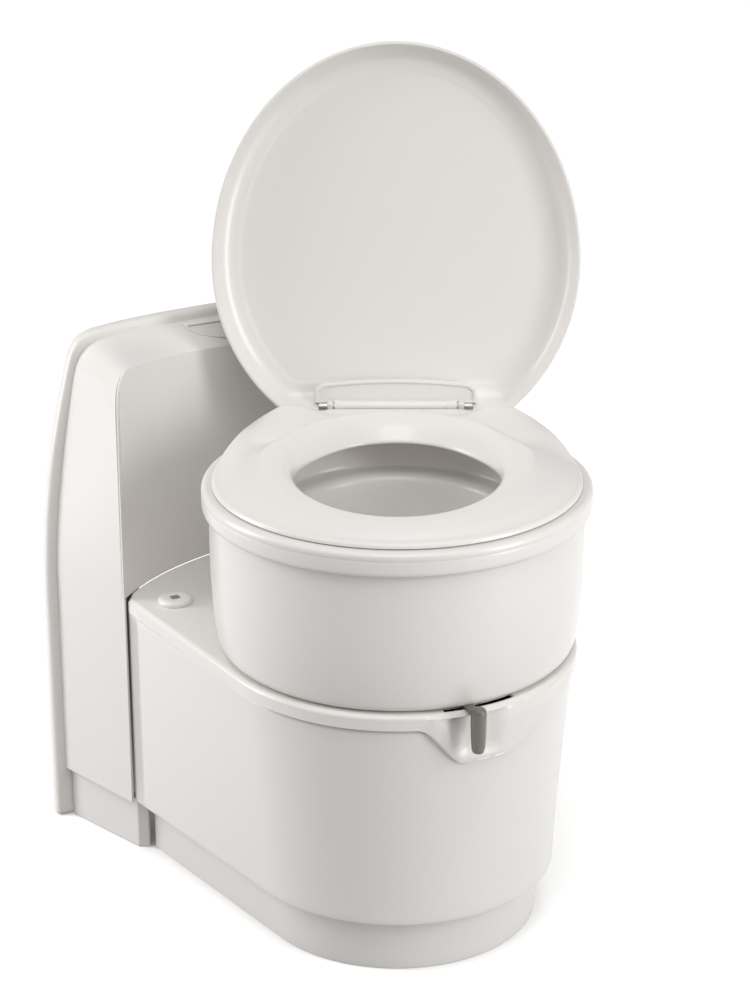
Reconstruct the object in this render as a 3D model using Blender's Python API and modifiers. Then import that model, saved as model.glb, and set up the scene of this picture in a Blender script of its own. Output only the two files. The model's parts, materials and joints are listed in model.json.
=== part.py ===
"""Cassette toilet for a caravan, with a swivelling bowl in front of a wall console. Metres, +Z up.

X runs across the console and +Y points to the wall. The origin is on the floor, below the bowl's swivel axis.
"""

import math

import bmesh
import bpy
from mathutils import Matrix, Vector

# Clearances and walls
GAP = 0.0003
RUN_GAP = 0.001
SHELL = 0.004
THIN = 0.003

# Heights above the floor
PLINTH_TOP = 0.060
HOUSING_TOP = 0.287
LEDGE_TOP = 0.303
DRUM_TOP = 0.455
RIM_TOP = 0.4745
HINGE_Z = 0.490
CONSOLE_TOP = 0.577

# Plan sizes
WALL_Y = 0.350
FLANGE_DEPTH = 0.018
FLANGE_HALF_WIDTH = 0.260
CONSOLE_RADIUS = 0.306
CONSOLE_HALF_FRONT = 0.2135
CONSOLE_HALF_BACK = 0.2485
BASE_CORNER = (0.2093, 0.2190)
LEDGE_RADIUS = 0.186
HOUSING_RADIUS_TOP = 0.183
HOUSING_RADIUS_FOOT = 0.168
PLINTH_RADIUS = 0.149
PLINTH_CORNER = (0.188, 0.2175)
DRUM_RADIUS = 0.190
DRUM_FOOT_RADIUS = 0.1815
RIM_RADIUS = 0.1945
TURNTABLE_RADIUS = 0.150
TUNNEL_HALF_WIDTH = 0.150
TUNNEL_TOP = 0.286

# Flush panel and level indicator
PANEL_AT = (0, 0.3176, 0.5521)
PANEL_TILT = (math.radians(47), 0, 0)
PANEL_HALF_LENGTH = 0.092
PANEL_HALF_DEPTH = 0.0135
LEVEL_AT = (-0.167, 0.190)

# Bowl, seat and lid
BOWL_TURN = math.radians(-27.0)
OUTLET_RADIUS = 0.036
NECK_FOOT = 0.2765
HINGE_Y = 0.190
PIN_RADIUS = 0.0035
SEAT_RADIUS = 0.187
SEAT_FOOT = 0.4785
SEAT_OPENING = (0.110, -0.140, 0.118)
LID_HALF_WIDTH = 0.1965
LID_WIDEST = -0.155
LID_FRONT = -0.386
LID_BACK = 0.006
LID_ROUND_BACK = 0.2045
LID_DEPTH = 0.027
LID_TOP = 0.023
LID_OPEN = math.radians(101.0)
HINGE_COVER_HALF_WIDTH = 0.082
COVER_REACH = -0.0330
COVER_BACK = -0.0062
COVER_LOW = 0.0035
COVER_HIGH = 0.0192
LUG_HALF = 0.0052
SEAT_BACK = 0.176
TONGUE_BACK = 0.1828
TONGUE_TOP = 0.4905
SHOULDER_TOP = 0.4965

# Corners of the seat's shoulder, and the angle where it leaves the round front
SHOULDER = ((0.1700, 0.0780), (0.1420, 0.1500), (0.1250, 0.1760))
SHOULDER_START = math.atan2(0.0780, 0.1700)

# Blade lever
LEVER_TURN = math.radians(-4.5)
SLOT_HALF_ANGLE = math.radians(12.6)
SLOT_INNER = 0.1715
SLOT_OUTER = 0.1805
APRON_DROP = 0.041
APRON_PROUD = 0.002
KNOB_RADIUS = 0.0078
KNOB_FOOT = 0.266
KNOB_TOP = 0.314
KNOB_REACH = 0.2035

# Cassette
TANK_HALF_WIDTH = 0.130
TANK_FRONT = -0.080
TANK_BACK = 0.322
TANK_FOOT = 0.045
TANK_TOP = 0.255
TANK_WALL = 0.004
SPOUT_SHELF = (0.205, 0.212)
BLADE_HOUSING_TOP = 0.2693
BLADE_PIVOT = (0.075, 0.030)
BLADE_AT_REST = math.radians(-18.0)
SPOUT_AT = (0.095, 0.264)
SPOUT_RADIUS = 0.024
SPOUT_Z = 0.2445
SPOUT_LENGTH = 0.150
WHEEL_RADIUS = 0.020
WHEEL_AT = (0.070, 0.292)
WHEEL_WIDTH = 0.016
GRIP_Z = 0.150
GRIP_HALF = 0.065
GRIP_WIRE = 0.0048
VENT_RADIUS = 0.011
VENT_AT = (-0.100, 0.120)
WHEEL_Z = 0.0465
LATCH_LIFT = math.radians(12.0)

STEPS = 40
WHITE = (0.86, 0.855, 0.84)

parts = bpy.data.collections.new("cassette_toilet")
cutters = bpy.data.collections.new("cutters")


# Helpers


def empty(name, location=(0, 0, 0), rotation=(0, 0, 0), parent=None):
    item = bpy.data.objects.new(name, None)
    parts.objects.link(item)
    item.location = location
    item.rotation_euler = rotation
    item.parent = parent
    return item


def dress(item, colour, roughness, metallic=0.0):
    """Gives the object a material of its own."""
    paint = bpy.data.materials.new(item.name)
    paint.use_nodes = True
    shader = paint.node_tree.nodes["Principled BSDF"]
    shader.inputs["Base Color"].default_value = (*colour, 1)
    shader.inputs["Roughness"].default_value = roughness
    shader.inputs["Metallic"].default_value = metallic
    item.data.materials.clear()
    item.data.materials.append(paint)


def place(name, mesh, parent=None, location=(0, 0, 0), rotation=(0, 0, 0), look=(WHITE, 0.25)):
    mesh.name = name
    item = bpy.data.objects.new(name, mesh)
    parts.objects.link(item)
    item.parent = parent
    item.location = location
    item.rotation_euler = rotation
    dress(item, *look)
    return item


def to_mesh(bm, smooth=True):
    mesh = bpy.data.meshes.new("mesh")
    bm.to_mesh(mesh)
    bm.free()
    if smooth:
        mesh.shade_smooth()
        mesh.set_sharp_from_angle(angle=math.radians(35))
    return mesh


def bevel(item, width, segments=2, angle=35):
    modifier = item.modifiers.new("edges", "BEVEL")
    modifier.width = width
    modifier.segments = segments
    modifier.limit_method = "ANGLE"
    modifier.angle_limit = math.radians(angle)
    return item


def thicken(item, thickness, offset=-1, even=True):
    modifier = item.modifiers.new("wall", "SOLIDIFY")
    modifier.thickness = thickness
    modifier.offset = offset
    modifier.use_even_offset = even
    return item


def cutter(item):
    """Hides a helper object that only cuts or joins others."""
    for collection in list(item.users_collection):
        collection.objects.unlink(item)
    cutters.objects.link(item)
    item.hide_render = True
    item.display_type = "WIRE"
    return item


def combine(item, other, operation="DIFFERENCE"):
    modifier = item.modifiers.new(other.name, "BOOLEAN")
    modifier.operation = operation
    modifier.object = cutter(other)
    return item


def box_mesh(low, high):
    bm = bmesh.new()
    bmesh.ops.create_cube(bm, size=1)
    size = [b - a for a, b in zip(low, high)]
    centre = [(a + b) / 2 for a, b in zip(low, high)]
    bmesh.ops.scale(bm, vec=size, verts=bm.verts)
    bmesh.ops.translate(bm, vec=centre, verts=bm.verts)
    return to_mesh(bm, smooth=False)


def box(name, low, high, parent=None, rounding=0.0, **placing):
    item = place(name, box_mesh(low, high), parent, **placing)
    return bevel(item, rounding) if rounding else item


def rod(name, radius, low, high, axis="Z", parent=None, sides=20, **placing):
    """A cylinder along one axis of its object, from low to high."""
    bm = bmesh.new()
    bmesh.ops.create_cone(
        bm, cap_ends=True, segments=sides, radius1=radius, radius2=radius, depth=high - low
    )
    bmesh.ops.translate(bm, vec=(0, 0, (low + high) / 2), verts=bm.verts)
    mesh = to_mesh(bm)
    if axis == "X":
        mesh.transform(Vector((0, 0, 1)).rotation_difference(Vector((1, 0, 0))).to_matrix().to_4x4())
    if axis == "Y":
        mesh.transform(Vector((0, 0, 1)).rotation_difference(Vector((0, 1, 0))).to_matrix().to_4x4())
    return place(name, mesh, parent, **placing)


def turned(name, profile, closed=True, parent=None, steps=STEPS, **placing):
    """Turns (radius, z) points about Z. A closed profile runs down its outer side and up its inner one."""
    bm = bmesh.new()
    points = [bm.verts.new((radius, 0, z)) for radius, z in profile]
    pairs = list(zip(points, points[1:]))
    if closed:
        pairs.append((points[-1], points[0]))
    for pair in pairs:
        bm.edges.new(pair)
    item = place(name, to_mesh(bm, smooth=False), parent, **placing)
    modifier = item.modifiers.new("turn", "SCREW")
    modifier.steps = steps
    modifier.render_steps = steps
    modifier.use_merge_vertices = True
    modifier.merge_threshold = 0.00005
    modifier.use_smooth_shade = True
    return item


def loft(rings, around=True, ends=False, wrap=False):
    """Quads between rings. around closes each ring, ends fills the first and last, wrap joins them."""
    bm = bmesh.new()
    rows = [[bm.verts.new(point) for point in ring] for ring in rings]
    count = len(rows[0])
    pairs = list(zip(rows, rows[1:]))
    if wrap:
        pairs.append((rows[-1], rows[0]))
    for low, high in pairs:
        for i in range(count if around else count - 1):
            j = (i + 1) % count
            bm.faces.new((low[i], low[j], high[j], high[i]))
    if ends:
        bm.faces.new(reversed(rows[0]))
        bm.faces.new(rows[-1])
    if ends or wrap:
        bmesh.ops.recalc_face_normals(bm, faces=bm.faces)
    return bm


def flat(name, outlines, low, high, parent=None, **placing):
    """A flat piece from closed outlines in its object's XY plane; outlines inside the first one are holes."""
    curve = bpy.data.curves.new(name, "CURVE")
    curve.dimensions = "2D"
    curve.fill_mode = "BOTH"
    curve.extrude = (high - low) / 2
    for outline in outlines:
        spline = curve.splines.new("POLY")
        spline.points.add(len(outline) - 1)
        for point, (x, y) in zip(spline.points, outline):
            point.co = (x, y, 0, 1)
        spline.use_cyclic_u = True
    source = bpy.data.objects.new(name, curve)
    parts.objects.link(source)
    bpy.context.view_layer.update()
    mesh = bpy.data.meshes.new_from_object(source.evaluated_get(bpy.context.evaluated_depsgraph_get()))
    bpy.data.objects.remove(source)
    bm = bmesh.new()
    bm.from_mesh(mesh)
    bmesh.ops.remove_doubles(bm, verts=bm.verts, dist=0.00002)
    bmesh.ops.translate(bm, vec=(0, 0, (low + high) / 2), verts=bm.verts)
    bmesh.ops.recalc_face_normals(bm, faces=bm.faces)
    return place(name, to_mesh(bm), parent, **placing)


def tube(name, route, radius, parent=None, sides=3, **placing):
    """A round wire or hose along a route of points."""
    curve = bpy.data.curves.new(name, "CURVE")
    curve.dimensions = "3D"
    curve.bevel_depth = radius
    curve.bevel_resolution = sides
    curve.use_fill_caps = True
    spline = curve.splines.new("POLY")
    spline.points.add(len(route) - 1)
    for point, where in zip(spline.points, route):
        point.co = (*where, 1)
    item = bpy.data.objects.new(name, curve)
    parts.objects.link(item)
    item.parent = parent
    dress(item, *placing.pop("look", (WHITE, 0.25)))
    return item


def arc(radius, start, end, count, centre=(0, 0)):
    """Points on a circle, from one angle to another."""
    turns = [start + (end - start) * i / count for i in range(count + 1)]
    return [(centre[0] + radius * math.cos(t), centre[1] + radius * math.sin(t)) for t in turns]


def rounded_box_outline(half_width, front, back, radius, count=5):
    quarter = math.pi / 2
    corners = [
        (half_width - radius, back - radius),
        (radius - half_width, back - radius),
        (radius - half_width, front + radius),
        (half_width - radius, front + radius),
    ]
    points = []
    for i, centre in enumerate(corners):
        points += arc(radius, i * quarter, (i + 1) * quarter, count, centre)
    return points


def cubic(start, pull_start, pull_end, end, count):
    """Points along a Bezier curve, without its start."""
    found = []
    for i in range(1, count + 1):
        t = i / count
        weights = ((1 - t) ** 3, 3 * t * (1 - t) ** 2, 3 * t * t * (1 - t), t**3)
        ends = (start, pull_start, pull_end, end)
        found.append(tuple(sum(w * p[k] for w, p in zip(weights, ends)) for k in range(2)))
    return found


def shift(x, y, z):
    return Matrix.Translation((x, y, z))


def turn_z(angle):
    return Matrix.Rotation(angle, 3, "Z")


def smooth_step(value):
    value = min(max(value, 0), 1)
    return value * value * (3 - 2 * value)


def base_outline(radius, corner, side_steps=4, arc_steps=28):
    """The round-fronted plan of the base, open at the back, from its right corner to its left."""
    reach = math.hypot(*corner)
    tangent = math.atan2(corner[1], corner[0]) - math.acos(radius / reach)
    touch = (radius * math.cos(tangent), radius * math.sin(tangent))
    side = [
        tuple(corner[k] + (touch[k] - corner[k]) * i / side_steps for k in range(2))
        for i in range(side_steps)
    ]
    front = arc(radius, tangent, -math.pi - tangent, arc_steps)
    return side + front + [(-x, y) for x, y in reversed(side)]


def at_height(outline, z):
    return [(x, y, z) for x, y in outline]


# Base


def build_floor_pan():
    inner = base_outline(
        PLINTH_RADIUS - THIN - 2 * GAP, (PLINTH_CORNER[0] - THIN - 3 * GAP, PLINTH_CORNER[1])
    )
    flat("base_floor_pan", [inner], 0.0, SHELL, look=((0.75, 0.75, 0.74), 0.5))


def build_plinth():
    low = base_outline(PLINTH_RADIUS, PLINTH_CORNER)
    high = base_outline(PLINTH_RADIUS + THIN, PLINTH_CORNER)
    wall = loft([at_height(high, PLINTH_TOP), at_height(low, 0.0)], around=False)
    thicken(place("base_plinth", to_mesh(wall)), THIN)


def build_housing():
    """Tapered shell, with a return at its foot that closes the gap to the plinth."""
    corner_in = (PLINTH_CORNER[0] + THIN, BASE_CORNER[1])
    foot = PLINTH_TOP + GAP
    rings = [
        at_height(base_outline(HOUSING_RADIUS_TOP, BASE_CORNER), HOUSING_TOP - GAP),
        at_height(base_outline(HOUSING_RADIUS_FOOT, BASE_CORNER), foot),
        at_height(base_outline(PLINTH_RADIUS + 2 * THIN, corner_in), foot),
    ]
    thicken(place("base_housing", to_mesh(loft(rings, around=False))), SHELL)


def cover_outline(inset):
    """Plan of the top cover: the base's outline, closed at the back along the console's hollow front."""
    front = base_outline(LEDGE_RADIUS - inset, (BASE_CORNER[0] - inset, BASE_CORNER[1] - inset))
    radius = CONSOLE_RADIUS - RUN_GAP - inset
    x, y = front[-1]
    start = math.atan2(math.sqrt(radius * radius - x * x), x)
    back = arc(radius, start, math.pi - start, 18)[1:-1]
    return front + back


def apron_depth(x, y):
    """How far the cover's skirt hangs below its band, at a place on the outline."""
    if y > 0:
        return 0.0
    turn = math.degrees(math.atan2(x, -y))
    rise = smooth_step((turn + 21) / 15)
    fall = smooth_step((37 - turn) / 30)
    return APRON_DROP * rise * fall


def build_top_cover():
    outline = cover_outline(0.0)
    reach = TURNTABLE_RADIUS - 0.010
    hole = [(x / math.hypot(x, y) * reach, y / math.hypot(x, y) * reach) for x, y in outline]
    taper = (HOUSING_RADIUS_TOP - HOUSING_RADIUS_FOOT) / (HOUSING_TOP - PLINTH_TOP)
    rows = [at_height(hole, LEDGE_TOP), at_height(cover_outline(0.003), LEDGE_TOP)]
    for share in (0.0, 0.5, 1.0):
        row = []
        for x, y in outline:
            drop = apron_depth(x, y)
            z = LEDGE_TOP - 0.003 - share * (LEDGE_TOP - 0.003 - HOUSING_TOP + drop)
            out = APRON_PROUD * drop / APRON_DROP - taper * max(HOUSING_TOP - z, 0)
            push = 1 + out / LEDGE_RADIUS
            row.append((x * push, y * push, z))
        rows.append(row)
    cover = place("base_top_cover", to_mesh(loft(rows)))
    thicken(cover, THIN - 0.0005)
    slot = arc(SLOT_OUTER, -math.pi / 2 - SLOT_HALF_ANGLE, -math.pi / 2 + SLOT_HALF_ANGLE, 8)
    slot += arc(SLOT_INNER, -math.pi / 2 + SLOT_HALF_ANGLE, -math.pi / 2 - SLOT_HALF_ANGLE, 8)
    combine(cover, rod("turntable_cut", TURNTABLE_RADIUS, LEDGE_TOP - 0.02, LEDGE_TOP + 0.02, sides=STEPS))
    combine(cover, flat("lever_slot_cut", [slot], LEDGE_TOP - 0.010, LEDGE_TOP + 0.010))
    window = box(
        "level_window_cut", (-0.0065, -0.0065, 0.28), (0.0065, 0.0065, 0.32), location=(*LEVEL_AT, 0)
    )
    combine(cover, window)
    return cover


def build_turntable():
    """The fixed ring that the bowl turns on, held in the top cover's hole."""
    outer = TURNTABLE_RADIUS * math.cos(math.pi / STEPS) - 2 * GAP
    low = LEDGE_TOP - 0.0095
    profile = [(outer, LEDGE_TOP), (outer, low), (outer - 0.026, low), (outer - 0.026, LEDGE_TOP)]
    turned("turntable_ring", profile, look=((0.25, 0.25, 0.26), 0.5))


# Console


def front_y(x):
    return math.sqrt(CONSOLE_RADIUS**2 - x * x)


def console_front_edge():
    """Left half of the console's front edge as (x, z): up the side, round the corner, to the middle."""
    side_x = -CONSOLE_HALF_FRONT
    foot = LEDGE_TOP + 2 * GAP
    side = [(side_x, foot + (0.515 - foot) * i / 5) for i in range(6)]
    corner = cubic((side_x, 0.515), (side_x, 0.542), (-0.205, 0.556), (-0.185, 0.554), 4)
    top = cubic((-0.185, 0.554), (-0.145, 0.550), (-0.085, 0.540), (0, 0.538), 7)
    return side + corner, top


def console_back_edge():
    """The matching left half of the edge where the console meets its flange."""
    side_x = -CONSOLE_HALF_BACK
    foot = LEDGE_TOP + 2 * GAP
    side = [(side_x, foot)] + cubic((side_x, foot), (-0.247, 0.370), (-0.232, 0.460), (-0.219, 0.520), 5)
    corner = cubic((-0.219, 0.520), (-0.214, 0.545), (-0.203, 0.558), (-0.180, 0.5605), 4)
    top = cubic((-0.180, 0.5605), (-0.145, 0.563), (-0.085, 0.5665), (0, 0.567), 7)
    return side + corner, top


def mirrored(points):
    return [(-x, z) for x, z in reversed(points)]


def build_console_housing():
    """Shell with a hollow front round the swivelling bowl, open at the back and foot."""
    side, top = console_front_edge()
    back_side, back_top = console_back_edge()
    corner_x, corner_z = side[-1]
    foot = side[0][1]
    top_row = [side[-1]] + top[:-1] + mirrored(top) + [(-corner_x, corner_z)]
    across = len(top_row) - 1
    grid = []
    for j, (edge_x, edge_z) in enumerate(side):
        rise = (edge_z - foot) / (corner_z - foot)
        row = []
        for i, (top_x, top_z) in enumerate(top_row):
            middle = 2 * i / across - 1
            x = middle * -edge_x + j / (len(side) - 1) * (top_x + middle * corner_x)
            row.append((x, front_y(x), foot + rise * (top_z - foot)))
        grid.append(row)
    bm = bmesh.new()
    verts = [[bm.verts.new(point) for point in row] for row in grid]
    for low, high in zip(verts, verts[1:]):
        for i in range(across):
            bm.faces.new((low[i], low[i + 1], high[i + 1], high[i]))
    half_back = back_side + back_top
    back = half_back[:-1] + mirrored(half_back)
    back_y = WALL_Y - FLANGE_DEPTH + THIN
    low = PLINTH_TOP + GAP
    front_edge = [row[0] for row in verts] + verts[-1][1:] + [row[-1] for row in reversed(verts[:-1])]
    back_edge = [bm.verts.new((x, back_y, z)) for x, z in back]
    front_feet = [bm.verts.new((x, front_y(x), low)) for x in (-CONSOLE_HALF_FRONT, CONSOLE_HALF_FRONT)]
    back_feet = [
        bm.verts.new((x, back_y, low)) for x in (-CONSOLE_HALF_BACK - 0.0005, CONSOLE_HALF_BACK + 0.0005)
    ]
    front_edge = [front_feet[0]] + front_edge + [front_feet[1]]
    back_edge = [back_feet[0]] + back_edge + [back_feet[1]]
    for i in range(len(front_edge) - 1):
        bm.faces.new((front_edge[i], front_edge[i + 1], back_edge[i + 1], back_edge[i]))
    housing = place("console_housing", to_mesh(bm))
    thicken(housing, THIN, even=False)
    room = [panel_outline(GAP * 2)]
    combine(housing, flat("panel_opening_cut", room, -0.012, 0.012, location=PANEL_AT, rotation=PANEL_TILT))
    flange_front = WALL_Y - FLANGE_DEPTH - GAP
    combine(housing, box("flange_face_cut", (-0.4, flange_front, -0.1), (0.4, flange_front + 0.05, 0.7)))
    return housing


def panel_outline(growth):
    """A flat D: straight towards the wall, bowed towards the room."""
    length = PANEL_HALF_LENGTH + growth
    depth = PANEL_HALF_DEPTH + growth
    turns = [math.pi * i / 15 for i in range(16)]
    return [(-length * math.cos(turn), depth - 2 * depth * math.sin(turn) ** 0.8) for turn in turns]


def build_panel():
    placing = {"location": PANEL_AT, "rotation": PANEL_TILT}
    flat("control_panel_bezel", [panel_outline(0.0), panel_outline(-0.0035)], -0.006, 0.0045, **placing)
    plate = flat("control_panel_plate", [panel_outline(-0.0035 - GAP * 2)], -0.004, 0.003, **placing)
    combine(plate, rod("button_hole_cut", 0.0062, -0.02, 0.02, sides=24, **placing))
    combine(plate, box("lens_hole_cut", (0.0375, -0.0032, -0.02), (0.0525, 0.0032, 0.02), **placing))
    dark = ((0.02, 0.02, 0.022), 0.2)
    box("status_lens", (0.0378, -0.0029, -0.003), (0.0522, 0.0029, 0.0032), look=dark, **placing)
    button = empty("flush_button_slide", PANEL_AT, PANEL_TILT)
    rod("flush_button", 0.0056, -0.0035, 0.0052, parent=button, sides=24)
    board = ((0.05, 0.25, 0.1), 0.5)
    box("control_board", (-0.060, -0.012, -0.0160), (0.060, 0.001, -0.0140), look=board, **placing)


def flange_outline():
    """Half the flange, from the foot of its outer edge round the top to the middle, as (x, z)."""
    side_x = -FLANGE_HALF_WIDTH
    side = [(side_x, 0.0), (side_x, 0.270)]
    side += cubic(side[-1], (side_x, 0.400), (-0.237, 0.480), (-0.223, 0.536), 6)
    side += cubic(side[-1], (-0.217, 0.558), (-0.208, 0.5655), (-0.190, 0.5685), 4)
    side += cubic(side[-1], (-0.150, 0.5745), (-0.080, 0.5765), (0, CONSOLE_TOP), 4)
    return side


def build_flange():
    """Frame against the wall, with the tunnel that the cassette leaves by."""
    half = flange_outline()
    tunnel = [(TUNNEL_HALF_WIDTH, 0.0), (TUNNEL_HALF_WIDTH, TUNNEL_TOP)]
    outline = half[:-1] + mirrored(half) + tunnel + mirrored(tunnel)
    flange = flat("console_flange", [outline], -WALL_Y, FLANGE_DEPTH - WALL_Y, rotation=(math.pi / 2, 0, 0))
    return bevel(flange, 0.004, 2, 60)


def build_console_plinths():
    for sign, side in ((-1, "left"), (1, "right")):
        points = [
            (0.2420, 0.3310),
            (0.2050, 0.2250),
            (0.1945, 0.2200),
            (0.1915, 0.2225),
            (0.1975, 0.2290),
            (0.2325, 0.3310),
        ]
        outline = [(sign * x, y) for x, y in points]
        flat("console_plinth_" + side, [outline], 0.0, PLINTH_TOP - GAP)


def build_level_indicator():
    bezel = turned(
        "level_indicator_bezel",
        [
            (0.0165, LEDGE_TOP + 0.006),
            (0.0185, LEDGE_TOP + 0.003),
            (0.0185, LEDGE_TOP + GAP),
            (0.002, LEDGE_TOP + GAP),
        ]
        + [(0.002, LEDGE_TOP + 0.006)],
        steps=28,
        location=(*LEVEL_AT, 0),
    )
    square = box(
        "bezel_window_cut", (-0.0050, -0.0050, 0.29), (0.0050, 0.0050, 0.32), location=(*LEVEL_AT, 0)
    )
    combine(bezel, square)
    clear = ((0.6, 0.65, 0.6), 0.05)
    low = LEDGE_TOP + 0.0035
    box(
        "level_window",
        (-0.0047, -0.0047, low),
        (0.0047, 0.0047, low + 0.0015),
        location=(*LEVEL_AT, 0),
        look=clear,
    )
    slide = empty("level_flag_slide", (*LEVEL_AT, 0))
    green = ((0.05, 0.30, 0.08), 0.4)
    box("level_flag", (-0.0055, -0.0060, 0.2905), (0.0155, 0.0060, 0.2925), parent=slide, look=green)


def build_water_supply():
    grey = ((0.10, 0.10, 0.11), 0.45)
    blue = ((0.05, 0.12, 0.35), 0.4)
    valve = box(
        "water_inlet_valve",
        (-0.020, -0.016, -0.022),
        (0.020, 0.016, 0.022),
        rounding=0.002,
        location=(0.193, 0.292, 0.420),
    )
    dress(valve, *grey)
    route = [(0.193, 0.290, 0.3975), (0.193, 0.286, 0.330), (0.192, 0.268, 0.285), (0.175, 0.230, 0.270)]
    route += [(0.150, 0.160, 0.268), (0.128, 0.095, 0.270), (0.119, 0.070, 0.280), (0.117, 0.066, 0.2905)]
    tube("water_hose", route, 0.006, look=blue)


def build_floor_screws():
    steel = ((0.6, 0.6, 0.62), 0.3, 1.0)
    for sign, side in ((-1, "left"), (1, "right")):
        profile = [
            (0.0022, 0.0075),
            (0.006, 0.0068),
            (0.006, SHELL + GAP),
            (0.0, SHELL + GAP),
            (0.0, 0.0062),
            (0.0022, 0.0062),
        ]
        turned("floor_screw_" + side, profile, steps=16, location=(sign * 0.150, 0.150, 0), look=steel)


# Bowl


def build_drum(bowl):
    """Outer skin of the bowl, turned in at its foot to ride on the turntable ring."""
    foot = LEDGE_TOP + GAP * 2
    outside = [
        (DRUM_RADIUS, DRUM_TOP - GAP),
        (DRUM_RADIUS + 0.0002, 0.400),
        (DRUM_RADIUS - 0.0018, 0.350),
        (DRUM_FOOT_RADIUS, 0.318),
        (DRUM_FOOT_RADIUS - 0.004, 0.3115),
        (DRUM_FOOT_RADIUS - 0.014, foot),
        (0.060, foot),
    ]
    inside = [
        (0.060, foot + SHELL),
        (DRUM_FOOT_RADIUS - 0.016, foot + SHELL),
        (DRUM_FOOT_RADIUS - 0.0065, 0.3145),
        (DRUM_RADIUS - 0.006, 0.350),
        (DRUM_RADIUS - SHELL, 0.400),
        (DRUM_RADIUS - SHELL, DRUM_TOP - GAP),
    ]
    turned("drum_shell", outside + inside, parent=bowl)


def build_bowl(bowl):
    """Basin, rim and outlet neck in one shell."""
    line = [
        (RIM_RADIUS - 0.001, DRUM_TOP + GAP),
        (RIM_RADIUS, 0.466),
        (RIM_RADIUS - 0.003, RIM_TOP),
        (0.152, RIM_TOP),
        (0.143, 0.467),
        (0.138, 0.440),
        (0.131, 0.404),
        (0.114, 0.397),
        (0.098, 0.360),
        (0.070, 0.330),
        (OUTLET_RADIUS + 0.004, 0.318),
        (OUTLET_RADIUS, 0.308),
        (OUTLET_RADIUS, NECK_FOOT),
    ]
    return thicken(turned("toilet_bowl", line, closed=False, parent=bowl), THIN, offset=1)


def build_neck_seal(bowl):
    inner = OUTLET_RADIUS + THIN + GAP * 2
    rubber = ((0.04, 0.04, 0.04), 0.7)
    profile = [(inner + 0.007, 0.287), (inner + 0.009, NECK_FOOT), (inner, NECK_FOOT), (inner, 0.287)]
    turned("bowl_neck_seal", profile, parent=bowl, look=rubber)


def build_nozzle(bowl):
    """Flush nozzle under the rim, at the back of the basin."""
    at = (0, 0.127, 0.452)
    item = box("flush_nozzle", (-0.016, -0.006, -0.006), (0.016, 0.003, 0.006), bowl, 0.002, location=at)
    return item


def build_hinge(bowl):
    steel = ((0.65, 0.65, 0.67), 0.25, 1.0)
    back = RIM_RADIUS + 0.012
    bracket = box("hinge_bracket", (-0.080, RIM_RADIUS + 0.0015, 0.440), (0.080, back, 0.479), bowl)
    for sign, side in ((-1, "left"), (1, "right")):
        low, high = sorted((sign * 0.0665, sign * 0.0735))
        base = box(
            "lug_foot_" + side, (low, HINGE_Y - LUG_HALF, RIM_TOP + 0.002), (high, back - 0.001, 0.4835), bowl
        )
        combine(bracket, base, "UNION")
        lug = box(
            "lug_" + side,
            (low, HINGE_Y - LUG_HALF, 0.480),
            (high, HINGE_Y + LUG_HALF, HINGE_Z + LUG_HALF),
            bowl,
        )
        bevel(lug, 0.002, 2, 35)
        combine(bracket, lug, "UNION")
    bore = rod("pin_bore_cut", PIN_RADIUS + GAP, -0.1, 0.1, "X", bowl, location=(0, HINGE_Y, HINGE_Z))
    combine(bracket, bore)
    for sign, side in ((-1, "left"), (1, "right")):
        low, high = sorted((sign * 0.0535, sign * 0.0825))
        rod(
            "hinge_pin_" + side,
            PIN_RADIUS,
            low,
            high,
            "X",
            bowl,
            16,
            location=(0, HINGE_Y, HINGE_Z),
            look=steel,
        )


# Seat


def seat_opening(turn):
    """Radius of the egg-shaped opening at an angle from +X."""
    half_width, front, back = SEAT_OPENING
    length = back if math.sin(turn) > 0 else -front
    return 1 / math.hypot(math.cos(turn) / half_width, math.sin(turn) / length)


def seat_outline(turn):
    """Radius of the seat at an angle: round in front, square-shouldered behind, with a tongue to the hinge."""
    across, along = math.cos(turn), math.sin(turn)
    if along < math.sin(SHOULDER_START):
        return SEAT_RADIUS
    edge = [SEAT_BACK / along]
    for (x, y), (to_x, to_y) in zip(SHOULDER, SHOULDER[1:]):
        normal = (to_y - y, x - to_x)
        edge.append((x * normal[0] + y * normal[1]) / (abs(across) * normal[0] + along * normal[1]))
    tongue = smooth_step((along - math.sin(math.radians(63))) / 0.06)
    return min(edge) * (1 + tongue * (TONGUE_BACK / SEAT_BACK - 1))


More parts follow.
